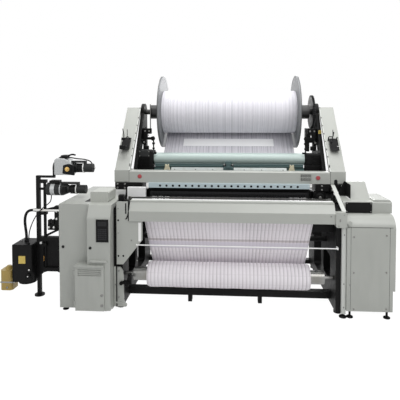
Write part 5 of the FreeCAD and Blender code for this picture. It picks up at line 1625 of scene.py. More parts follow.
@dataclass
class BeamFittings:
    """Brake arms, adjusting rods and lock nuts between the pile beam's stands and the guide roller.

    Attributes:
        arm_y: y of the arms.
        arm_x: x of the arms' outer ends, mirrored.
        rod_x: x of the adjusting rods, mirrored.
        guide_half: Half the guide rod's length.
        bar_x: x of the lease bar's ends.
        bar_z: z of its lower and upper edge.
    """

    arm_y: float = 1.16
    arm_x: float = 1.16
    rod_x: float = 1.019
    guide_half: float = 0.975
    bar_x: Pair = (-0.622, 0.610)
    bar_z: Pair = (1.749, 1.840)

    def side(self, side: int) -> None:
        """The fittings of one side, seen between the flange and the stand.

        Args:
            side: -1 for the left side and 1 for the right one.
        """
        y, middle, x = self.arm_y, self.arm_y + 0.02, side * self.rod_x
        parts = []
        for near, low, high in ((1.046, 1.917, 1.992), (1.012, 1.838, 1.872), (1.10, 1.86, 1.93),
                                (1.085, 1.70, 1.755)):
            x0, x1 = span(side, near, self.arm_x)
            parts.append(block((x0, y, low), (x1, y + 0.05, high), 0.008))
        parts += [bent_rod(np.array([(x, middle, z) for z in (1.60, 1.70, 1.80, 1.885)]), 0.009),
                  ribbed_drum((x, middle, 1.775), UP, 0.021, 0.026, 2),
                  ribbed_drum((x, middle, 1.71), UP, 0.018, 0.02, 2)]
        parts += [button((side * away, y, z), FRONT, radius, height) for away, z, radius, height in (
            (1.024, 1.856, 0.03, 0.02), (1.14, 1.805, 0.034, 0.022), (1.125, 1.722, 0.026, 0.02))]
        fit(f"{SIDES[side]}_beam_arms", BLACK_CAST, parts)
        fit(f"{SIDES[side]}_beam_screws", STEEL, [
            stud((side * away, y - raised, z), FRONT, radius) for away, raised, z, radius in (
                (1.075, 0, 1.955, 0.011), (1.13, 0, 1.955, 0.011), (1.14, 0.02, 1.805, 0.014),
                (1.085, 0, 1.90, 0.009))])

    def gauges(self) -> None:
        """The yellow tag on the right stand, the sensor rod above it, and the left guard link."""
        tag = [(1.164, 1.925), (1.204, 1.925), (1.204, 1.966), (1.196, 1.975), (1.172, 1.975), (1.164, 1.966)]
        fit("stand_tag", YELLOW_PLATE, [slab(tag, "Y", 1.062, 0.004, 0.0008)])
        fit("stand_tag_hole", BLACK_PLASTIC, [button((1.185, 1.062, 1.950), FRONT, 0.0055, 0.001)])
        fit("stand_tag_holder", BLACK_CAST, [block((1.172, 1.066, 1.93), (1.196, 1.12, 1.96), 0.003)])
        fit("stand_sensors", STEEL, [
            ribbed_drum((1.18, 1.16, 1.98), (0, 0.45, 1), 0.016, 0.13, 5),
            bent_rod(np.array([(-1.072, 1.236, z) for z in (1.985, 2.1, 2.32)]), 0.007)])

    def guide_rod(self) -> None:
        """Steel rod behind the guide roller, over which the pile sheet bends down to the healds."""
        radius, length, edge = GUIDE_ROD.radius, 2 * self.guide_half, 0.001
        fit("pile_guide_rod", STEEL, [turned((-self.guide_half, GUIDE_ROD.y, GUIDE_ROD.z), RIGHT, (
            (0, radius - edge), (edge, radius), (length - edge, radius), (length, radius - edge)), 24)])

    def lease_bar(self) -> None:
        """The flat white bar that lies across the front of the pile warp, on the sheet's slope.

        Formula: its edges lie where the sheet's path is at the heights of bar_z, moved square to the sheet.
        """
        path = sheet_path(PILE.path, SHEET_OFFSET)
        order = np.argsort(path[:, 1])
        across = np.interp(self.bar_z, path[order, 1], path[order, 0])
        run = np.array((across[1] - across[0], self.bar_z[1] - self.bar_z[0]))
        out = np.array((-run[1], run[0])) / np.linalg.norm(run)
        inner = np.stack([across, self.bar_z], axis=1) + out * 0.0012
        outer = inner + out * 0.003
        start, end = self.bar_x
        fit("lease_bar", BAR_WHITE, [
            slab([*map(tuple, inner), *map(tuple, outer[::-1])], "X", start, end - start, 0.0008)])

    def build(self) -> None:
        """Make both sides' arms, the gauges, the guide rod and the lease bar."""
        for side in SIDES:
            self.side(side)
        self.gauges()
        self.guide_rod()
        self.lease_bar()


@dataclass
class RollerTrim:
    """What shows round the guide roller: drive cover, end flanges, tray bands, clips and the centre bracket.

    Attributes:
        axis: (y, z) of the guide roller.
        drive_front: y of the drive housing's front.
        front: y of the tray's front.
        clips: x of the two ivory clips.
        channel: x of the teal channel's inner and outer ends, mirrored.
        rail: x of the pale rail's inner and outer ends, mirrored.
    """

    axis: Spot = (0.98, 1.605)
    drive_front: float = 0.875
    front: float = 0.872
    clips: Pair = (-0.785, 0.796)
    channel: Pair = (0.064, 0.945)
    rail: Pair = (0.066, 0.735)

    def drive(self) -> None:
        """Grey lid, fins and screws of the drive housing, and the caps at the roller's ends."""
        (y, z), face = self.axis, self.drive_front
        fit("roller_drive_lid", DARK_PAINT, [
            block((-1.15, face - 0.008, 1.637), (-1.012, face, 1.712), 0.006),
            block((-1.15, face, 1.709), (-1.012, face + 0.17, 1.717), 0.004)])
        fins = [block((-1.145 + step, face - 0.014, 1.512), (-1.139 + step, face, 1.628), 0.002)
                for step in 0.0135 * np.arange(10)]
        cap = ((0, 0.079), (0.004, 0.083), (0.02, 0.083), (0.024, 0.078), (0.024, 0.03))
        caps = [turned((side * 0.968, y, z), (side, 0, 0), cap, 48) for side in SIDES]
        trips = [block((-0.965, y - 0.09, 1.668), (-0.93, y - 0.07, 1.70), 0.004),
                 block((0.93, y - 0.09, 1.676), (0.985, y - 0.072, 1.698), 0.004)]
        fit("roller_drive_fins", BLACK_CAST, fins + caps + trips)
        fit("roller_drive_screws", STEEL, studs(
            [(x, face - 0.008, h) for x in (-1.14, -1.022) for h in (1.647, 1.702)], FRONT, 0.006))
        fins = [block((1.052, 0.892, 1.54 + step), (1.15, 0.9045, 1.548 + step), 0.002)
                for step in 0.018 * np.arange(7)]
        ends = (span(side, 0.955, 1.158) for side in SIDES)
        skirts = [block((low, self.front + 0.002, 1.44), (high, self.front + 0.03, 1.535), 0.004)
                  for low, high in ends]
        fit("roller_end_fins", BLACK_CAST, fins + skirts)

    def bands(self) -> None:
        """Teal channel under the roller and the pale drip rail before it, in two halves."""
        y = self.front
        channel = [(y + 0.034, 1.502), (y + 0.014, 1.502), (y + 0.010, 1.545), (y + 0.014, 1.549),
                   (y + 0.018, 1.51), (y + 0.034, 1.51)]
        rail = [(y - 0.004, 1.452), (y + 0.001, 1.452), (y + 0.012, 1.50), (y + 0.034, 1.504),
                (y + 0.034, 1.500), (y + 0.006, 1.496)]
        halves = [span(side, *self.channel) for side in SIDES]
        fit("tray_channel", DEEP_TEAL, [slab(channel, "X", a, b - a, 0.0008) for a, b in halves])
        fit("tray_bead", TEAL_PAINT, [
            block((a, y + 0.006, 1.519), (b, y + 0.012, 1.526), 0.0018) for a, b in halves])
        halves = [span(side, *self.rail) for side in SIDES]
        fit("tray_rail", PALE_METAL, [slab(rail, "X", a, b - a, 0.0008) for a, b in halves])

    def clip(self, x: float) -> Piece:
        """One ivory clip at x: a block on two spread feet."""
        outline = [(-0.044, 1.452), (-0.022, 1.449), (-0.014, 1.474), (0.014, 1.474), (0.022, 1.449),
                   (0.044, 1.452), (0.032, 1.496), (0.026, 1.505), (0.026, 1.540), (0.014, 1.546),
                   (0.008, 1.534), (-0.008, 1.534), (-0.014, 1.546), (-0.026, 1.540), (-0.026, 1.505),
                   (-0.032, 1.496)]
        return slab([(x + dx, z) for dx, z in outline], "Y", self.front - 0.032, 0.03, 0.003)

    def centre(self) -> None:
        """Dark centre bracket with a waist, pads and two bright screws."""
        y = self.front
        half = [(0.061, 1.452), (0.061, 1.502), (0.04, 1.512), (0.03, 1.526), (0.03, 1.548), (0.044, 1.562),
                (0.04, 1.584)]
        outline = [(-0.061, 1.452), *half, *((-x, z) for x, z in half[:0:-1])]
        fit("tray_bracket", DEEP_TEAL, [slab(outline, "Y", y - 0.026, 0.03, 0.004),
                                        button((0.0, y - 0.026, 1.505), FRONT, 0.02, 0.008)])
        fit("tray_bracket_screws", BRIGHT,
            studs([(x, y - 0.012, 1.542) for x in (-0.052, 0.052)], FRONT, 0.009))
        fit("tray_studs", STEEL, studs(
            [(x, y - 0.004, 1.476) for x in (-0.69, -0.42, -0.2, 0.2, 0.42, 0.69)], FRONT, 0.007))

    def build(self) -> None:
        """Make the drive, the bands, the clips and the bracket."""
        self.drive()
        self.bands()
        fit("tray_clips", IVORY_PLASTIC, [self.clip(x) for x in self.clips])
        self.centre()


# ---------------------------------------------------------------- the two cabinets


def feet(places: Sequence[Spot], profile: Sequence[Spot], sides: int = 24) -> list[Piece]:
    """Round levelling feet of one (height, radius) profile, standing on the floor at each (x, y)."""
    return [turned((x, y, 0.0), UP, profile, sides) for x, y in places]


def louvres(low: Spot, high: Spot, pitch: float, count: int, normal: str, start: float,
            thick: float) -> list[Piece]:
    """Level strips over each other: the first one from low to high, and each next one a pitch higher.

    Args:
        low: Lower left corner of the lowest strip, in the plane across the normal.
        high: Its upper right corner.
        pitch: Distance from strip to strip.
        count: Number of strips.
        normal: "X" or "Y".
        start: Where the strips start along the normal.
        thick: How far they go.

    Returns:
        The strips.
    """
    return [slab(rectangle((low[0], low[1] + rise), (high[0], high[1] + rise)), normal, start, thick, 0.0004)
            for rise in pitch * np.arange(count)]


@dataclass
class LeftCabinetTrim:
    """Locks, keys, louvres, seams and feet of the left cabinet.

    Attributes:
        face: y of the flat panel's front.
        bulge: y of the bulge's front.
        door: y of the lower door's front.
        side: x of the cabinet's outer side.
        back: y of its back.
        roof: z of its roof.
        plate: (x, z) of the control plate's lower left corner and of its upper right one.
        plate_front: y of the control plate's front.
        screw_z: Heights of the panels' screws.
    """

    face: float = 0.0
    bulge: float = -0.094
    door: float = -0.112
    side: float = -1.855
    back: float = 1.15
    roof: float = 1.195
    plate: tuple[Spot, Spot] = ((-1.41, 0.808), (-1.275, 1.053))
    plate_front: float = -0.0977
    screw_z: tuple[float, ...] = (0.15, 0.62, 1.09)

    def lock(self, place: Point) -> list[Piece]:
        """A quarter-turn lock: a dished ring with a slotted core, facing the front.

        Args:
            place: Middle of the ring's back.

        Returns:
            The ring and the core.
        """
        x, y, z = place
        ring = ((0, 0.016), (0.004, 0.0155), (0.006, 0.0125), (0.003, 0.0105), (0.003, 0.001))
        return [turned(place, FRONT, ring, 28),
                block((x - 0.0022, y - 0.008, z - 0.0085), (x + 0.0022, y - 0.001, z + 0.0085), 0.0008)]

    def keys(self) -> None:
        """A display window and a pad of small keys in a thin rim, all without signs."""
        (x0, z0), (x1, z1) = self.plate
        face, margin, gap, rim = self.plate_front, 0.018, 0.002, 0.004
        fit("control_window", GLASS, [
            block((x0 + margin, face - 0.002, z1 - 0.072), (x1 - margin, face, z1 - 0.022), 0.0015)])
        across, columns, rows = x0 + margin, 5, 6
        pitch = (x1 - x0 - 2 * margin) / columns
        fit("control_keys", KEY_PLASTIC, [
            block((across + pitch * i + gap, face - 0.003, z0 + 0.024 + 0.021 * j),
                  (across + pitch * (i + 1) - gap, face, z0 + 0.039 + 0.021 * j), 0.0012)
            for i in range(columns) for j in range(rows)])
        fit("control_rim", DARK_PAINT, [
            block((a0, face - 0.003, b0), (a1, face, b1), 0.001) for a0, b0, a1, b1 in (
                (x0, z0, x1, z0 + rim), (x0, z1 - rim, x1, z1),
                (x0, z0, x0 + rim, z1), (x1 - rim, z0, x1, z1))])

    def door_parts(self) -> None:
        """The door's pressed ribs and locks, which swing with it."""
        fit("door_slots", GREY_PAINT, [
            block((-1.60, self.door - 0.0008, z), (-1.385, self.door + 0.004, z + 0.009), 0.002)
            for z in (0.47, 0.492, 0.514)], "cabinet_door_body")
        fit("door_locks", STEEL, [part for z in (0.235, 0.124) for part in self.lock((-1.348, self.door, z))],
            "cabinet_door_body")

    def fronts(self) -> None:
        """Locks and seams of the panels, a black patch on the roof as painted shade of an opening, and the
        lip over the door.
        """
        fit("cabinet_locks", GEAR_STEEL,
            self.lock((-1.812, self.face, 0.721)) + self.lock((-1.476, self.bulge, 0.742)))
        fit("cabinet_seams_and_roof_shade", BLACK_PLASTIC, [
            block((-1.5145, self.face - 0.0006, 0.06), (-1.5115, self.face + 0.003, self.roof - 0.004),
                  0.0004),
            # Black patch on the roof: painted shade of an opening.
            slab(rectangle((-1.612, 0.14), (-1.558, 0.42)), "Z", self.roof - 0.001, 0.0022, 0.0006)])
        outer = self.bulge - 0.018
        fit("cabinet_lip", GREY_PAINT, [
            slab([(self.bulge + 0.002, 0.592), (self.bulge - 0.016, 0.588), (outer, 0.592), (outer, 0.604),
                  (self.bulge - 0.014, 0.610), (self.bulge + 0.002, 0.612)], "X", -1.48, 0.186, 0.001)])

    def sides(self) -> None:
        """Hinged service panels, louvres and handles of the outer side, each with its screws."""
        x = self.side
        fit("cabinet_side_panels", GREY_PAINT, [
            slab(rectangle((y0, 0.12), (y1, 1.12)), "X", x - 0.004, 0.005, 0.0015)
            for y0, y1 in ((0.05, 0.54), (0.57, 1.10))])
        fit("cabinet_side_vents", BLACK_PLASTIC, [
            strip for y in (0.145, 0.685)
            for strip in louvres((y, 0.24), (y + 0.30, 0.25), 0.03, 6, "X", x - 0.0046, 0.0015)])
        knobs = studs([(x - 0.004, y, z) for y in (0.075, 0.515, 0.595, 1.075) for z in self.screw_z],
                      LEFT, 0.007)
        pulls = [bent([(x - out, y, z) for out, z in (
            (0.003, 0.70), (0.03, 0.705), (0.034, 0.73), (0.034, 0.80), (0.03, 0.825), (0.003, 0.83))], 0.006)
            for y in (0.46, 0.64)]
        fit("cabinet_side_screws", STEEL, knobs + pulls)

    def rear(self) -> None:
        """Panel, louvres and screws of the back."""
        y = self.back
        fit("cabinet_rear_door", GREY_PAINT,
            [block((-1.82, y - 0.001, 0.10), (-1.30, y + 0.006, 1.13), 0.002)])
        fit("cabinet_rear_vents", BLACK_PLASTIC,
            louvres((-1.72, 0.22), (-1.40, 0.232), 0.03, 8, "Y", y + 0.0055, 0.0011))
        fit("cabinet_rear_screws", STEEL, studs(
            [(x, y + 0.006, z) for x in (-1.79, -1.33) for z in (0.14, 0.62, 1.09)], BACK, 0.007))

    def build(self) -> None:
        """Make the keys, the door's parts, the fronts, the sides, the back and the feet."""
        self.keys()
        self.door_parts()
        self.fronts()
        self.sides()
        self.rear()
        fit("cabinet_feet", BLACK_CAST, feet(
            [(x, y) for x in (-1.81, -1.35) for y in (0.06, 1.09)],
            ((0.0, 0.034), (0.008, 0.034), (0.014, 0.022), (0.018, 0.011), (0.05, 0.011))))


@dataclass
class RightCabinetTrim:
    """Screws, seams, lid, panels and terminal details of the right-hand covers.

    Attributes:
        face: y of the cabinet's front.
        left: x of its inner side.
        side: x of its outer side.
        back: y of its back.
        seam_z: z of the lower end of the front's upright seams and of the shoulder's seam.
    """

    face: float = 0.0
    left: float = 1.26
    side: float = 1.764
    back: float = 0.64
    seam_z: Pair = (0.10, 0.986)

    def fronts(self) -> None:
        """Cap screws, the shoulder's seam and the edge strips of the front panel."""
        fit("right_screws", STEEL, studs([(x, self.face, z) for x, z in (
            (1.332, 0.887), (1.668, 0.905), (1.670, 0.513), (1.335, 0.115), (1.672, 0.122), (1.332, 0.505),
            (1.296, 0.373))], FRONT, 0.0085))
        low, high = self.seam_z
        fit("right_seams", BLACK_PLASTIC, [
            block((x0, self.face - 0.0006, z0), (x1, self.face + 0.003, z1), 0.0004) for x0, z0, x1, z1 in (
                (self.left + 0.002, high, self.side - 0.03, high + 0.003), (1.299, low, 1.302, high),
                (1.702, low, 1.705, high))])

    def top(self) -> None:
        """The housing's dark front panel, its raised lid, the gusset and the terminal's dark side."""
        fit("housing_panel", BLACK_CAST, [
            block((1.288, 0.176, 1.103), (1.572, 0.186, 1.218), 0.004),
            slab([(1.268, 1.226), (1.374, 1.226), (1.374, 1.398), (1.352, 1.398)], "Y", 0.50, 0.008, 0.002),
            block((1.369, 0.31, 1.232), (1.376, 0.525, 1.390), 0.002)])
        fit("housing_screws", STEEL, studs(
            [(x, 0.176, z) for x in (1.302, 1.558) for z in (1.116, 1.206)], FRONT, 0.006))
        lid = [(1.592, 1.2245), (1.778, 1.2245), (1.774, 1.238), (1.762, 1.244), (1.606, 1.244),
               (1.596, 1.238)]
        fit("housing_lid", GREY_PAINT, [slab(lid, "Y", 0.20, 0.39, 0.002)])

    def bracket(self) -> None:
        """Small push button and screws on the breast bracket."""
        fit("bracket_button", STEEL, [
            slab(oval((1.182, 1.062), 0.016, 0.034), "Y", -0.0245, 0.005, 0.0012),
            *studs([(1.222, -0.02, 1.122), (1.168, -0.02, 1.004)], FRONT, 0.0055)])

    def sides(self) -> None:
        """Door, louvres, screws and handle of the outer side, the cover of the back, and the feet."""
        x, y = self.side, self.back
        fit("right_side_door", GREY_PAINT, [
            slab(rectangle((0.05, 0.34), (0.59, 1.04)), "X", x - 0.001, 0.005, 0.0015),
            block((1.30, y - 0.001, 0.14), (1.72, y + 0.005, 1.06), 0.0015)])
        fit("right_side_vents", BLACK_PLASTIC, [
            *louvres((0.16, 0.42), (0.48, 0.431), 0.03, 7, "X", x + 0.0036, 0.0012),
            *louvres((1.38, 0.24), (1.64, 0.251), 0.03, 7, "Y", y + 0.0046, 0.001)])
        fit("right_side_screws", STEEL, [
            *studs([(x + 0.004, across, z) for across in (0.075, 0.565) for z in (0.37, 0.69, 1.01)],
                   RIGHT, 0.007),
            *studs([(across, y + 0.005, z) for across in (1.325, 1.695) for z in (0.17, 0.6, 1.03)],
                   BACK, 0.007),
            bent([(x + out, 0.12, z) for out, z in (
                (0.003, 0.66), (0.028, 0.664), (0.032, 0.69), (0.032, 0.75), (0.028, 0.776), (0.003, 0.78))],
                0.006)])
        fit("right_feet", BLACK_CAST, feet(
            [(across, depth) for across in (1.31, 1.70) for depth in (0.06, 0.58)],
            ((0.0, 0.036), (0.01, 0.036), (0.018, 0.024), (0.024, 0.012), (0.1, 0.012))))

    def build(self) -> None:
        """Make the fronts, the top, the bracket's parts and the sides."""
        self.fronts()
        self.top()
        self.bracket()
        self.sides()


# ---------------------------------------------------------------- the front between the cabinets


@dataclass
class FrontTrim:
    """Columns, shield and breast cover details, the front-left casting and the machinery beside the rail.

    Attributes:
        column: x of the right-hand column, inner and outer.
        column_y: y of its front.
        casting_y: y of the front-left casting's front.
        shield_y: y of the inner shield's front.
        block_y: y of the drive blocks' front.
    """

    column: Pair = (1.213, 1.259)
    column_y: float = 0.021
    casting_y: float = 0.034
    shield_y: float = 0.016
    block_y: float = 0.56

    def columns(self) -> None:
        """Painted column in front of the right side frame, its strut to the corner block, foot and bolts."""
        (x0, x1), y = self.column, self.column_y
        middle = (x0 + x1) / 2
        strut = [(0.03, 1.146), (0.061, 1.146), (0.60, 1.352), (0.565, 1.352)]
        fit("front_column", COLUMN_PAINT, [block((x0, y, 0.045), (x1, 0.061, 0.984), 0.004),
                                           slab(strut, "X", x0, x1 - x0, 0.003)])
        fit("column_foot", BLACK_CAST, [
            *feet([(middle, 0.055)],
                  ((0.0, 0.04), (0.012, 0.04), (0.022, 0.026), (0.028, 0.014), (0.05, 0.014)), 28),
            block((-1.2295, 0.03, 0.05), (-1.2175, 0.062, 1.19), 0.002)])
        # Black sheets on the cabinet walls behind the side frames' windows: painted shade of the windows'
        # insides.
        fit("window_painted_shade", BLACK_CAST, [
            slab(rectangle(low, high), "X", x, 0.0025, 0.0005) for low, high, x in (
                ((0.10, 0.09), (1.12, 1.02), -1.2599), ((0.10, 0.12), (0.63, 1.02), 1.2574))])
        fit("column_bolts", STEEL, studs([(middle, y, z) for z in (0.12, 0.372, 0.90)], FRONT, 0.007))

    def hand_wheel(self, x: float, z: float, radius: float) -> Piece:
        """A hand wheel with a dished face and a hub, on the casting's front.

        Args:
            x: x of its middle.
            z: Its height.
            radius: Its radius.

        Returns:
            The object.
        """
        r = radius
        return turned((x, self.casting_y, z), FRONT, (
            (0, 0.4 * r), (0.012, 0.4 * r), (0.012, 0.92 * r), (0.016, r), (0.028, r), (0.032, 0.92 * r),
            (0.032, 0.7 * r), (0.026, 0.62 * r), (0.026, 0.3 * r), (0.038, 0.26 * r), (0.04, 0.01)), 28)

    def casting(self) -> None:
        """Grey cast plate low at the left, with its flared foot and three hand wheels."""
        y = self.casting_y
        plate = [(-1.2585, 0.052), (-1.118, 0.052), (-1.112, 0.075), (-1.135, 0.095), (-1.146, 0.13),
                 (-1.149, 0.40), (-1.158, 0.455), (-1.183, 0.492), (-1.232, 0.500), (-1.2585, 0.498)]
        rib = [(-1.250, 0.09), (-1.16, 0.09), (-1.165, 0.112), (-1.250, 0.112)]
        arm = [(-1.175, 0.300), (-1.06, 0.300), (-1.06, 0.425), (-1.098, 0.425), (-1.11, 0.345),
               (-1.175, 0.345)]
        fit("front_casting", GREY_PAINT,
            [slab(plate, "Y", y, 0.027, 0.004), slab(rib, "Y", y - 0.006, 0.01, 0.003)])
        wheels = [self.hand_wheel(x, z, radius) for x, z, radius in (
            (-1.168, 0.323, 0.021), (-1.104, 0.315, 0.026), (-1.080, 0.409, 0.017))]
        fit("front_wheels", BLACK_CAST, [*wheels, slab(arm, "Y", y, 0.027, 0.004)])
        fit("wheel_bolts", STEEL, studs(
            [(-1.20, y, 0.455), (-1.235, y, 0.30), (-1.20, y, 0.16)], FRONT, 0.010))

    def shield(self) -> None:
        """Holes, the flange and the strip beside the cover, both white as painted highlights, and the inner
        shield's folded edge.
        """
        y = self.shield_y
        fit("shield_holes", BLACK_PLASTIC, [
            button((x, y + 0.0004, z), FRONT, 0.011, 0.0009)
            for x, z in ((-1.198, 0.626), (-1.143, 0.627), (-1.198, 1.02))])
        # The flange is white as a painted highlight of its lit face.
        fit("shield_flange_highlight", WHITE_PAINT,
            [block((-0.975, y - 0.006, 0.792), (-0.946, y + 0.001, 1.0), 0.0015)])
        fit("shield_gap", BLACK_PLASTIC, [bent(
            ((-1.078, 0.012, 1.19), (-1.080, 0.010, 1.14), (-1.086, 0.009, 1.09), (-1.100, 0.010, 1.05),
             (-1.114, 0.013, 1.034)), 0.006)])
        fit("shield_screws", STEEL, [
            *studs([(x, y, z) for x, z in ((-1.198, 1.15), (-1.198, 0.88), (-1.05, 0.80), (-0.99, 0.58))],
                   FRONT, 0.0075),
            stud((1.093, 0.0, 1.10), FRONT, 0.0085)])
        # White strip along the breast cover's top edge: a painted highlight.
        lip = [(0.118, 1.2275), (0.165, 1.2275), (0.165, 1.2325), (0.116, 1.2325)]
        fit("cover_lip_highlight", WHITE_PAINT, [slab(lip, "X", -1.074, 2.212, 0.001)])

    def machinery(self) -> None:
        """Dark drive blocks under the corner blocks, the rail's end pieces, knobs and the gland."""
        y, hub_x, hub_z, step = self.block_y, 1.085, 1.195, 1.262
        parts = []
        for side, near, radius in ((-1, 1.05, 0.045), (1, 1.045, 0.052)):
            low, high = span(side, near, 1.384)
            parts.append(block((low, y, step), (high, 0.66, 1.35), 0.008))
            low, high = span(side, 1.012, 1.155)
            parts.append(block((low, 0.575, 1.13), (high, 0.655, step), 0.01))
            parts.append(ribbed_drum((side * hub_x, 0.575, hub_z), FRONT, radius, 0.05, 4))
        parts += [block((1.20, 0.50, 1.268), (1.243, 0.575, 1.322), 0.006),
                  block((-1.247, 0.2, 1.192), (-1.186, 0.262, 1.262), 0.006)]
        fit("drive_blocks", BLACK_CAST, parts)
        fit("drive_bolts", STEEL, [
            *studs([(x, y, z) for x in (-1.35, -1.26, 1.11, 1.34) for z in (1.283, 1.33)], FRONT, 0.011),
            *studs([(side * hub_x, 0.525, hub_z) for side in SIDES], FRONT, 0.018)])
        # Black plates behind the perforated rail: painted shade seen through its holes.
        fit("rail_hole_shade", BLACK_PLASTIC, [block((-0.96, 0.612, 1.175), (0.96, 0.618, 1.297), 0.001),
                                            block((-0.958, 0.5164, 1.303), (0.958, 0.5176, 1.350), 0.0003)])
        ends = [span(side, 0.957, 0.985) for side in SIDES]
        fit("rail_ends", WHITE_PAINT,
            [block((low, 0.503, 1.290), (high, 0.517, 1.357), 0.003) for low, high in ends])
        gland = ((0, 0.013), (0.012, 0.013), (0.014, 0.017), (0.026, 0.017), (0.03, 0.009), (0.034, 0.001))
        fit("rail_knobs", BRIGHT, [button((0.971, 0.503, 1.322), FRONT, 0.011, 0.016),
                                   button((1.222, 0.50, 1.295), FRONT, 0.014, 0.018),
                                   turned((-1.197, 0.46, 1.19), DOWN, gland, 6, False)])

    def build(self) -> None:
        """Make the columns, the casting, the shield's parts and the machinery."""
        self.columns()
        self.casting()
        self.shield()
        self.machinery()


# ---------------------------------------------------------------- the yarn feeders and the lubrication unit


@dataclass
class FeederTrim:
    """Boxed cover, reels, rings, arms and small plates of the unit at the left.

    Attributes:
        upper: z of the upper feeder's axis.
        lower: z of the lower feeder's axis.
        y: y of both axes.
        reel_x: x of the gold reel's middle.
        unit_y: y of the valve box's front.
        lid_z: z of the face of its lid that the glands stand on.
    """

    upper: float = 1.545
    lower: float = 1.29
    y: float = 0.40
    reel_x: float = -1.878
    unit_y: float = 0.25
    lid_z: float = 0.646

    def cover(self) -> None:
        """Boxed silver cover of the upper feeder, and its dark recess with a gold reel."""
        z, y, reel = self.upper, self.y, (self.reel_x, self.upper - 0.006)
        fit("feeder_cover", SILVER_PAINT, [
            slab([(-2.044, z - 0.078), (-1.832, z - 0.078), (-1.832, z + 0.045), (-1.862, z + 0.092),
                  (-1.93, z + 0.118), (-2.012, z + 0.122), (-2.044, z + 0.095)], "Y", y - 0.08, 0.16, 0.012),
            block((-2.052, y - 0.05, z - 0.05), (-2.042, y + 0.05, z + 0.06), 0.006)])
        fit("feeder_recess", BLACK_PLASTIC, [
            slab([(-1.942, z - 0.06), (-1.80, z - 0.082), (-1.796, z + 0.03), (-1.86, z + 0.056),
                  (-1.932, z + 0.04)], "Y", y - 0.086, 0.03, 0.006),
            turned((reel[0], y - 0.084, reel[1]), FRONT, (
                (0, 0.052), (0.008, 0.052), (0.012, 0.046),
                (0.012, 0.034), (0.006, 0.03), (0.006, 0.01)), 36)])
        fit("feeder_reel", GOLD, [turned((reel[0], y - 0.09, reel[1]), FRONT, (
            (0, 0.029), (0.010, 0.027), (0.014, 0.021), (0.014, 0.012), (0.02, 0.010), (0.022, 0.001)), 32)])

    def upper_feeder(self) -> None:
        """Cooling ribs, white rings and the yarn guide's arms and eye."""
        z, y = self.upper, self.y
        fit("feeder_collars", DARK_PAINT, [
            turned((-1.832 + 0.014 * i, y, z), RIGHT, ((0, 0.06 - 0.002 * i), (0.008, 0.06 - 0.002 * i)), 40)
            for i in range(4)])
        fit("feeder_rings", WHITE_PAINT, [
            turned(place, RIGHT, ((0, 0.058), (0.008, 0.058), (0.010, 0.053)), 44)
            for place in ((-1.7135, y, z), (-1.802, y, self.lower))])
        fit("feeder_arms", BLACK_CAST, [
            bent(((-2.0, y - 0.03, z + 0.118), (-1.95, y - 0.05, z + 0.138), (-1.86, y - 0.05, z + 0.128),
                  (-1.78, y - 0.03, z + 0.112), (-1.70, y, z + 0.100), (-1.63, y, z + 0.075),
                  (-1.60, y, z + 0.02)), 0.007),
            bent([(x, y + 0.02, z + rise) for x, rise in (
                (-1.93, 0.11), (-1.90, 0.142), (-1.86, 0.156), (-1.82, 0.15))], 0.010),
            block((-1.975, y - 0.05, z + 0.112), (-1.90, y + 0.05, z + 0.152), 0.008)])
        fit("feeder_eyes", BRIGHT, [turned((-1.592, y, z), RIGHT, (
            (0, 0.012), (0.004, 0.014), (0.012, 0.014), (0.016, 0.010), (0.016, 0.004)), 24)])

    def lower_feeder(self) -> None:
        """Silver end cap, ribs and cable block of the lower feeder."""
        z, y, rim = self.lower, self.y, 0.0775
        fit("lower_feeder_caps", SILVER_PAINT, [
            turned((-2.149, y, z), LEFT, ((0, 0.066), (0.006, 0.062), (0.008, 0.05), (0.004, 0.046),
                                          (0.004, 0.002)), 40),
            *(turned((x, y, z), RIGHT, ((0, rim), (wide, rim)), 48)
              for x, wide in ((-2.10, 0.05), (-1.99, 0.012)))])
        fit("lower_feeder_parts", BLACK_CAST, [
            block((-2.12, y - 0.045, z + 0.07), (-2.0, y + 0.045, z + 0.105), 0.006),
            block((-1.952, y - 0.086, z - 0.03), (-1.90, y - 0.05, z + 0.035), 0.006),
            *(turned((-1.672, y, z), RIGHT, ((-0.094 + step, 0.05), (-0.088 + step, 0.05)), 36)
              for step in 0.013 * np.arange(6))])

    def stand(self) -> None:
        """Second rail, cross arms, clamps and coupling pieces on the feeder stand."""
        y = self.y
        clamps = [block((-2.262, y - 0.032, low), (-2.166, y + 0.03, high), 0.005)
                  for low, high in ((0.60, 0.64), (0.98, 1.012), (1.36, 1.40))]
        solenoids = [block((x, y - 0.045, 0.87), (x + 0.032, y + 0.02, 0.925), 0.005)
                     for x in (-2.142, -2.094)]
        fit("stand_parts", BLACK_CAST, [
            block((-2.206, y - 0.015, 0.30), (-2.176, y + 0.012, 1.40), 0.004), *clamps,
            bent_rod(np.array([(-2.25, y - 0.04, 1.027), (-2.17, y - 0.04, 1.046), (-2.09, y - 0.04, 1.065),
                               (-2.007, y - 0.03, 1.084)]), 0.013),
            bent_rod(np.array([(-2.19, y, 0.722), (-2.12, y, 0.756), (-2.05, y, 0.79), (-1.985, y, 0.824)]),
                     0.013),
            block((-2.15, y - 0.035, 0.80), (-2.038, y + 0.03, 0.875), 0.008), *solenoids,
            block((-2.07, y - 0.03, 0.82), (-1.99, y + 0.03, 1.09), 0.01),
            block((-2.02, y - 0.025, 0.70), (-1.98, y + 0.025, 0.83), 0.006)])
        nozzle = ((0, 0.014), (0.012, 0.014), (0.014, 0.010), (0.022, 0.010), (0.024, 0.004))
        fit("stand_fittings", BRIGHT, [
            *(turned((x, y - 0.04, z), FRONT, nozzle, 6, False)
              for x, z in ((-2.125, 0.838), (-2.065, 0.838), (-2.03, 0.94), (-2.03, 1.03))),
            turned((-2.29, 0.36, 1.04), LEFT, ((0, 0.022), (0.02, 0.022), (0.024, 0.018)), 24)])

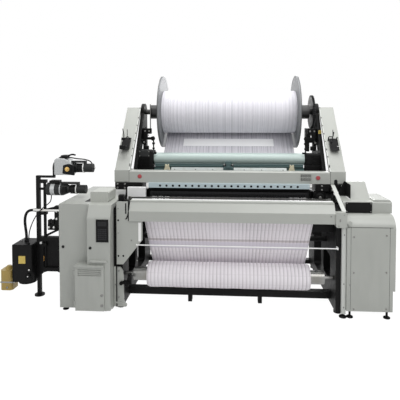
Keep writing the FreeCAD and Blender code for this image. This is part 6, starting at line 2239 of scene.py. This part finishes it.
    def unit(self) -> None:
        """Cable glands, plates, knobs and gauge of the valve box, and the tank's strap."""
        y, z = self.unit_y, self.lid_z
        fit("unit_yellow", YELLOW_PLATE,
            [block((-2.452, y - 0.0025, 0.43), (-2.370, y + 0.001, 0.52), 0.001)])
        fit("unit_orange", ORANGE_PLATE, [block((-2.2455, 0.3705, 0.425), (-2.198, 0.3725, 0.486), 0.0006)])
        fit("unit_black", BLACK_PLASTIC, [
            block((-2.527, y - 0.003, 0.19), (-2.521, y + 0.001, 0.62), 0.001),
            block((-2.53, y + 0.004, 0.638), (-2.297, 0.545, 0.650), 0.003),
            turned((-2.35, 0.30, z), UP, ((0, 0.014), (0.016, 0.014), (0.02, 0.009), (0.026, 0.0085)), 6,
                   False),
            turned((-2.425, 0.40, z), UP, ((0, 0.026), (0.016, 0.026), (0.02, 0.02), (0.03, 0.0195)), 24),
            turned((-2.335, y, 0.285), FRONT, ((0, 0.03), (0.016, 0.03), (0.02, 0.027), (0.016, 0.025),
                                               (0.016, 0.002)), 36)])
        fit("unit_fittings", BRIGHT, [
            button((-2.322, y, 0.36), FRONT, 0.012, 0.018),
            turned((-2.475, 0.40, z), UP, ((0, 0.012), (0.022, 0.012), (0.024, 0.016), (0.034, 0.016),
                                           (0.036, 0.006)), 6, False),
            button((-2.335, y - 0.0165, 0.285), FRONT, 0.008, 0.005)])
        fit("unit_white", WHITE_PAINT, [button((-2.232, 0.372, 0.645), FRONT, 0.014, 0.02)])
        fit("tank_strap", STEEL, [block((-2.7195, 0.3145, 0.168), (-2.5355, 0.3165, 0.186), 0.0006),
                                  stud((-2.63, 0.315, 0.115), FRONT, 0.012)])

    def build(self) -> None:
        """Make both feeders' parts, the stand's and the unit's."""
        self.cover()
        self.upper_feeder()
        self.lower_feeder()
        self.stand()
        self.unit()


GUIDE_ROD = Roller(1.085, 1.588, 0.014, 1)
PILE = WarpBeam("pile_yarn", "pile_warp", "pile_warp_sheet", "pile_beam_body", (
    Roller(1.350, 2.215, 0.290, -1), GUIDE_ROD, Roller(0.835, 1.180)), seed=3)
GROUND = WarpBeam("ground_yarn", "ground_warp", "ground_warp_sheet", "ground_beam_body", (
    Roller(1.500, 0.520, 0.300, 1), Roller(1.450, 1.235, 0.060, 1), Roller(0.835, 1.140)), seed=5)


def main() -> None:
    """Build and dress the loom, then hand it to the frame."""
    logging.basicConfig(level=logging.INFO, format="%(message)s")
    Studio().build()
    CadFinishes().dress()
    for assembly in (SUCTION_HOSE, SIGNAL_CABLE, PILE, GROUND, ClothRun(), CoverTrim(), UprightTrim(),
                     BeamFittings(), RollerTrim(), LeftCabinetTrim(), RightCabinetTrim(), FrontTrim(),
                     FeederTrim()):
        assembly.build()


if __name__ == "__main__":
    main()
